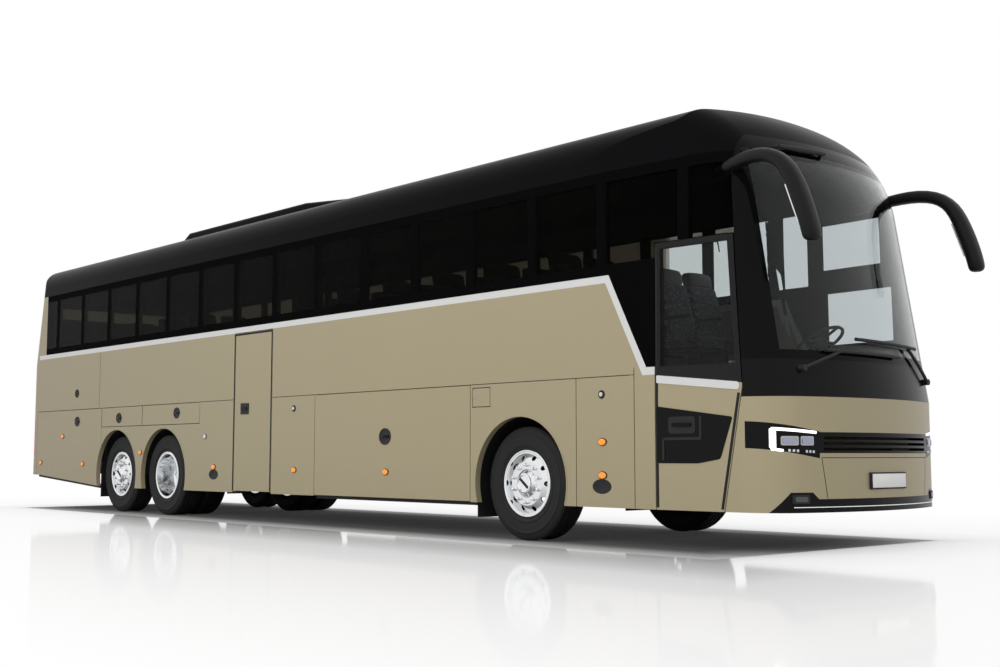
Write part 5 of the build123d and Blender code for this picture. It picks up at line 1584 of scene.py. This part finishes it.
@dataclass
class Mirrors:
    """Outside mirrors: arms that sweep forward and swell into hanging heads.

    A section is its place behind the tip, distance from the middle, height, half width, half depth and tilt.
    """

    tip: float = 7.1325
    glass_behind: float = 0.054
    glass_half: Point = (0.05, 0.16)
    glass_thick: float = 0.0105
    sections: Sequence[tuple[float, ...]] = (
        (1.185, 1.03, 2.965, 0.045, 0.030, -15), (1.005, 1.085, 3.015, 0.055, 0.042, -12),
        (0.825, 1.135, 3.05, 0.062, 0.05, -8), (0.645, 1.175, 3.068, 0.066, 0.055, 2),
        (0.485, 1.2, 3.055, 0.07, 0.057, 14), (0.355, 1.212, 3.005, 0.075, 0.058, 32),
        (0.265, 1.218, 2.92, 0.08, 0.06, 52), (0.208, 1.22, 2.815, 0.084, 0.062, 66),
        (0.155, 1.22, 2.69, 0.085, 0.063, 70), (0.113, 1.22, 2.57, 0.085, 0.063, 74),
        (0.085, 1.22, 2.475, 0.084, 0.063, 79), (0.067, 1.22, 2.4, 0.08, 0.063, 86),
        (0.063, 1.22, 2.36, 0.072, 0.063, 90), (0.07, 1.22, 2.332, 0.044, 0.038, 90))

    def build(self) -> None:
        """Builds both mirrors."""
        for side in Side:
            self.head(side)
            self.glass(side)

    def centre(self, n: int, side: Side) -> Vector:
        """Middle of a section."""
        behind, out, z = self.sections[n][:3]
        return Vector((self.tip - behind, side.value * out, z))

    def head(self, side: Side) -> None:
        """Arm and head in one sweep.

        Args:
            side: side of the coach.
        """
        stations = []
        for n, (_, _, _, wide, deep, tilt) in enumerate(self.sections):
            lift = Vector((math.sin(math.radians(tilt)), 0.0, math.cos(math.radians(tilt))))
            stations.append((self.centre(n, side), Vector((0, wide, 0)), lift * deep))
        piece = Piece(f"mirror_{side.word}")
        piece.swept(stations, 20, 0.35)
        replaced = ["mirrors"] if side is Side.RIGHT else []
        piece.done(Palette.MIRROR_SHELL, "coach", replaced, 1)

    def glass(self, side: Side) -> None:
        """Mirror glass on the head's rear face.

        Args:
            side: side of the coach.
        """
        piece = Piece(f"mirror_glass_{side.word}")
        top, foot = self.centre(7, side), self.centre(10, side)
        down = (foot - top).normalized()
        across = Vector((0, 1, 0))
        back = down.cross(across).normalized()
        if back.x > 0:
            back = -back
        centre = (top + foot) / 2 + back * self.glass_behind
        wide, high = self.glass_half
        corners = [centre + across * a + down * b for a, b in rectangle(-wide, wide, -high, high)]
        piece.slab(corners, back * self.glass_thick, 0.003)
        piece.done(Palette.MIRROR)


@dataclass
class Doors:
    """Dressings of the entry door and the exit door."""

    places: Places
    skin: Skin

    def plate(self, name: str, outline: Sequence[Point], proud: float, finish: Finish, body: str,
              corner: float, slot: str = "black_trim") -> None:
        """Plate on the right side's skin, from (ahead, height) points.

        Args:
            name: name of the piece.
            outline: (ahead, height) corner points.
            proud: height over the skin.
            finish: its finish.
            body: body that it rides on.
            corner: radius of its corners.
            slot: not used.
        """
        piece = Piece(name)
        piece.patch(self.skin, Facing.RIGHT, self.places.path(outline), proud, 0.004, 0.08, corner)
        piece.done(finish, body)

    def strip(self, name: str, path: Sequence[Point], width: float, proud: float, finish: Finish,
              body: str) -> None:
        """Strip on the right side's skin, along (ahead, height) points.

        Args:
            name: name of the piece.
            path: (ahead, height) points along its middle.
            width: width of the strip.
            proud: height over the skin.
            finish: its finish.
            body: body that it rides on.
        """
        piece = Piece(name)
        piece.ribbon(self.skin, Facing.RIGHT, self.places.path(path), width, proud)
        piece.done(finish, body)

    def build(self) -> None:
        """Dresses both doors."""
        self.entry("entry_door")
        self.exit("exit_door")

    def entry(self, body: str) -> None:
        """Black panel with its handle and fold, seals and bright stripe of the entry door.

        Args:
            body: the door's body.
        """
        panel = [(1.622, 0.70), (2.02, 0.70), (2.23, 0.735), (2.345, 1.06), (1.622, 1.157)]
        self.plate("entry_panel", panel, 0.003, Palette.BLACK, body, 0.02)
        pocket = rectangle(1.74, 2.0, 0.935, 1.07)
        self.plate("entry_handle_plate", pocket, 0.006, Palette.PLASTIC, body, 0.03)
        self.plate("entry_handle", rectangle(1.78, 1.96, 0.99, 1.02), 0.02, Palette.BLACK, body, 0.012)
        fold = [(1.69, 0.735), (1.69, 0.895), (2.05, 0.895), (2.05, 1.06)]
        self.strip("entry_panel_fold", fold, 0.022, 0.009, Palette.PLASTIC, body)
        for n, path in enumerate(([(1.626, 0.36), (1.626, 2.475)], [(2.243, 0.36), (2.402, 1.23)])):
            self.strip(f"entry_seal_{n}", path, 0.024, 0.002, Palette.RUBBER, body)
        stripe = [(1.625, 1.345), (2.40, 1.265), (2.415, 1.30), (2.40, 1.327), (1.625, 1.408)]
        self.plate("entry_stripe", stripe, 0.006, Palette.MOULDING, body, 0.012, "moulding")

    def exit(self, body: str) -> None:
        """Seal and lock of the exit door.

        Args:
            body: the door's body.
        """
        front, rear, foot, head = -4.168, -4.982, 0.365, 2.193
        seal = [(rear, foot), (rear, head), (front, head), (front, foot)]
        self.strip("exit_seal", seal, 0.022, 0.0015, Palette.RUBBER, body)
        self.plate("exit_lock", rectangle(-4.83, -4.65, 1.245, 1.375), 0.006, Palette.PLASTIC, body, 0.012)
        self.plate("exit_catch", rectangle(-4.79, -4.69, 1.29, 1.33), 0.014, Palette.BLACK, body, 0.008)


@dataclass
class RoofTop:
    """Hatches, pod grilles and the front lamp bar on the roof."""

    places: Places
    skin: Skin
    hatches: Sequence[float] = (1.0, -5.9)
    hatch_half: float = 0.4
    grille_start: float = 0.9
    grille_step: float = 0.95
    grille_length: float = 0.7
    slat_step: float = 0.21
    slat_half: float = 0.07

    def build(self) -> None:
        """Fits out the roof."""
        for n, ahead in enumerate(self.hatches):
            x, half = self.places.at(ahead), self.hatch_half
            piece = Piece(f"roof_hatch_{n}")
            outline = rectangle(x - half, x + half, -half, half)
            piece.patch(self.skin, Facing.ROOF, outline, 0.028, 0.01, 0.2, 0.06)
            piece.done(Palette.PLASTIC, "coach")
        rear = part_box("air_conditioner")[0].x
        for n in range(3):
            x = rear + self.grille_start + n * self.grille_step
            piece = Piece(f"pod_grille_{n}")
            for row in range(5):
                y = (row - 2) * self.slat_step
                outline = rectangle(x, x + self.grille_length, y - self.slat_half, y + self.slat_half)
                piece.patch(self.skin, Facing.ROOF, outline, 0.004, 0.004, 0.2, 0.02)
            piece.done(Palette.PLASTIC, "coach")
        self.bracket()

    def bracket(self) -> None:
        """Short lamp bar over the windscreen's right half."""
        piece = Piece("roof_front_bar")
        ends = []
        for y in (-0.70, -0.19):
            spot, normal = self.skin.hit(Facing.FRONT, y, 3.22)
            ends.append(spot + normal * 0.035)
        stations = []
        for n in range(7):
            share = n / 6
            size = 0.016 + 0.010 * math.sin(math.pi * share)
            stations.append((ends[0].lerp(ends[1], share), Vector((size, 0, 0)), Vector((0, 0, size))))
        piece.swept(stations, 10, 0.2)
        for end in ends:
            foot = end - Vector((0.06, 0, 0.0))
            piece.box(foot - Vector((0.02, 0.014, 0.012)), end + Vector((0.004, 0.014, 0.012)), 0.004)
        piece.done(Palette.PLASTIC)


@dataclass
class RearEnd:
    """Lamp lenses, reflectors, plate, handles, seam and glass seal at the back."""

    skin: Skin

    def build(self) -> None:
        """Fits out the rear."""
        for side in Side:
            s, word = side.value, side.word
            lenses = ((Palette.RED, 1.2), (Palette.AMBER, 1.035), (Palette.CLEAR_LENS, 0.87))
            for n, (finish, z) in enumerate(lenses):
                spot, normal = self.skin.hit(Facing.REAR, s * 1.075, z)
                piece = Piece(f"tail_lens_{word}_{n}")
                shape = [(0.0, -0.006), (0.07, -0.006), (0.07, 0.006), (0.064, 0.012), (0.05, 0.015),
                         (0.0, 0.017)]
                piece.turned(shape, spot, normal, 32)
                piece.done(finish, "coach")
            # The reflectors take the glowing red lens finish, so they shine a little by themselves: painted
            # light on parts that are no lamps.
            low = Piece(f"rear_reflector_{word}")
            low.patch(self.skin, Facing.REAR, rectangle(0.9, 1.06, 0.54, 0.585, s), 0.006, 0.004, 0.05, 0.01)
            low.done(Palette.RED, "coach")
        plate = Piece("rear_plate")
        spot, _ = self.skin.hit(Facing.REAR, 0.0, 0.80)
        plate.box((spot.x - 0.009, -0.26, 0.745), (spot.x + 0.003, 0.26, 0.86), 0.002)
        plate.done(Palette.PLATE, "engine_lid")
        for side in Side:
            handle = Piece(f"engine_lid_handle_{side.word}")
            spot, normal = self.skin.hit(Facing.REAR, side.value * 0.55, 0.80)
            shape = [(0.0, -0.004), (0.06, -0.004), (0.06, 0.006), (0.054, 0.009), (0.046, 0.005),
                     (0.0, 0.003)]
            handle.turned(shape, spot, normal, 28)
            handle.done(Palette.PLASTIC, "engine_lid")
        bumper = Piece("rear_bumper_seam")
        bumper.ribbon(self.skin, Facing.REAR, [(-1.2, 0.615), (1.2, 0.615)], 0.007, 0.0006)
        bumper.done(Palette.PLASTIC)
        glass = rectangle(-0.9, 0.9, 2.33, 3.06)
        seal = Piece("rear_glass_seal")
        seal.ribbon(self.skin, Facing.REAR, [*glass, glass[0]], 0.022, 0.003)
        seal.done(Palette.RUBBER)


@dataclass
class Seats:
    """Rows of paired touring seats, and the driver's seat."""

    places: Places
    deck: float = 1.44
    platform: float = 1.01
    level: float = 0.46
    pitch: float = 0.83
    rows: int = 14
    first: float = 0.58
    aisle_y: float = 0.48
    outer_y: float = 0.94
    half: float = 0.212
    exit_rows: Sequence[int] = (6, 7)
    driver: Point = (1.48, 0.64)

    def spots(self, side: Side) -> list[Matrix]:
        """Places of the seats on one side: middle of the cushion at the floor.

        Args:
            side: side of the coach.

        Returns:
            A matrix for each seat.
        """
        found = []
        for row in range(self.rows):
            if side is Side.RIGHT and row in self.exit_rows:
                continue
            x = self.places.at(self.first) - row * self.pitch
            for y in (self.aisle_y, self.outer_y):
                found.append(Matrix.Translation((x, side.value * y, self.deck)))
        return found

    def build(self) -> None:
        """Builds the seats in groups by side and by part."""
        groups = [(side.word, self.spots(side)) for side in Side]
        ahead, y = self.driver
        groups.append(("driver", [Matrix.Translation((self.places.at(ahead), y, self.platform))]))
        for word, spots in groups:
            self.cushions(word, spots)
            self.backs(word, spots)
            self.headrests(word, spots)
            self.frames(word, spots)

    def pad(self, name: str, outline: Sequence[Point], half: float, crown: float, spots: Sequence[Matrix],
            finish: Finish, replaced: Sequence[str] = (), round_off: float = 0.03) -> None:
        """Crowned pad with pulled-in sides, from an (x, z) outline drawn at the seat's middle.

        Args:
            name: name of the piece.
            outline: side outline of the pad.
            half: half of its width.
            crown: how far its middle stands over its edges.
            spots: places of its copies.
            finish: its finish.
            replaced: CAD nodes that it stands for.
            round_off: radius of its edges.
        """
        piece = Piece(name)
        piece.slab([(x, -half, z) for x, z in outline], (0, 2 * half, 0), 0.0)
        edges = [e for e in piece.bm.edges if abs(e.verts[0].co.y - e.verts[1].co.y) > half]
        bmesh.ops.subdivide_edges(piece.bm, edges=edges, cuts=3, use_grid_fill=True)
        count = len(outline)
        middle = Vector((sum(x for x, _ in outline) / count, 0, sum(z for _, z in outline) / count))
        for vertex in piece.bm.verts:
            share = 1.0 - (vertex.co.y / half) ** 2
            away = vertex.co - middle
            away.y = 0
            if away.length > 1e-6:
                vertex.co += away.normalized() * crown * share
        rims = [e for e in piece.bm.edges if abs(abs(e.verts[0].co.y) - half) < 1e-5
                and abs(abs(e.verts[1].co.y) - half) < 1e-5]
        bmesh.ops.bevel(piece.bm, geom=rims, offset=round_off, segments=3, affect="EDGES", profile=0.5,
                        material=-1, clamp_overlap=True)
        piece.copies(spots)
        made = piece.done(finish, "coach", replaced)

    def cushions(self, word: str, spots: Sequence[Matrix]) -> None:
        """Seat cushions, thicker under the knees.

        Args:
            word: word for the group in the piece's name.
            spots: places of the seats.
        """
        top, low = self.level - 0.012, self.level - 0.112
        outline = [(-0.17, low), (0.20, low), (0.232, low + 0.03), (0.232, top - 0.02), (0.20, top - 0.002),
                   (0.05, top - 0.012), (-0.10, top - 0.01), (-0.17, top - 0.03)]
        self.pad(f"seat_cushions_{word}", outline, self.half, 0.008, spots, Palette.CLOTH,
                 ["seats"] if word == "right" else [])

    def backs(self, word: str, spots: Sequence[Matrix]) -> None:
        """Raked backs with a bulge for the spine.

        Args:
            word: word for the group in the piece's name.
            spots: places of the seats.
        """
        outline = [(-0.232, 0.42), (-0.150, 0.44), (-0.133, 0.50), (-0.132, 0.60), (-0.165, 0.75),
                   (-0.207, 0.90), (-0.235, 0.985), (-0.255, 1.0), (-0.335, 0.995), (-0.352, 0.97),
                   (-0.295, 0.70)]
        self.pad(f"seat_backs_{word}", outline, self.half, 0.006, spots, Palette.CLOTH)

    def headrests(self, word: str, spots: Sequence[Matrix]) -> None:
        """Leather head rests on top of the backs.

        Args:
            word: word for the group in the piece's name.
            spots: places of the seats.
        """
        outline = [(-0.352, 1.0), (-0.262, 0.995), (-0.25, 1.03), (-0.265, 1.11), (-0.29, 1.143),
                   (-0.345, 1.145), (-0.382, 1.12)]
        self.pad(f"head_rests_{word}", outline, self.half - 0.035, 0.008, spots, Palette.LEATHER, (), 0.025)

    def frames(self, word: str, spots: Sequence[Matrix]) -> None:
        """Legs, arm rests and back shells.

        Args:
            word: word for the group in the piece's name.
            spots: places of the seats.
        """
        piece = Piece(f"seat_frames_{word}")
        piece.box((-0.08, -0.10, 0.0), (0.08, 0.10, 0.03), 0.008)
        piece.box((-0.05, -0.035, 0.02), (0.05, 0.035, 0.345), 0.01)
        piece.box((-0.2, -0.19, 0.318), (0.2, 0.19, 0.347), 0.008)
        arm = [(-0.17, 0.66), (0.12, 0.665), (0.14, 0.65), (0.12, 0.628), (-0.16, 0.615)]
        piece.slab([(x, -self.half - 0.008, z) for x, z in arm], (0, 0.045, 0), 0.008)
        shell = [(-0.236, 0.40), (-0.246, 0.40), (-0.362, 0.965), (-0.352, 0.97)]
        piece.slab([(x, -self.half + 0.01, z) for x, z in shell], (0, 2 * self.half - 0.02, 0), 0.003)
        piece.copies(spots)
        piece.done(Palette.PLASTIC, "coach")


@dataclass
class Cab:
    """Gauges on the dashboard."""

    places: Places

    def build(self) -> None:
        """Fits out the dashboard."""
        x = self.places.at(2.01)
        face = Piece("gauge_face")
        face.box((x - 0.012, 0.42, 1.335), (x + 0.004, 0.86, 1.39), 0.003)
        face.done(Palette.BLACK, "coach")
        for n in range(2):
            dial = Piece(f"gauge_{n}")
            shape = [(0.0, 0.0), (0.024, 0.0), (0.025, 0.004), (0.022, 0.006), (0.0, 0.004)]
            dial.turned(shape, (x - 0.012, 0.56 + n * 0.16, 1.3625), (-1, 0, 0), 24)
            dial.done(Palette.STEEL, "coach")


def main() -> None:
    """Builds the coach's looks in order."""
    logging.basicConfig(level=logging.INFO, format="%(message)s")
    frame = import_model()
    places = Places()
    Studio().build()
    Body(frame).dress()
    skin = Skin(frame, OUTSIDE)
    Wheels(places).build()
    SideFittings(places, skin).build()
    FrontEnd(skin).build()
    Mirrors().build()
    Doors(places, skin).build()
    RoofTop(places, skin).build()
    RearEnd(skin).build()
    Seats(places).build()
    Cab(places).build()


if __name__ == "__main__":
    main()
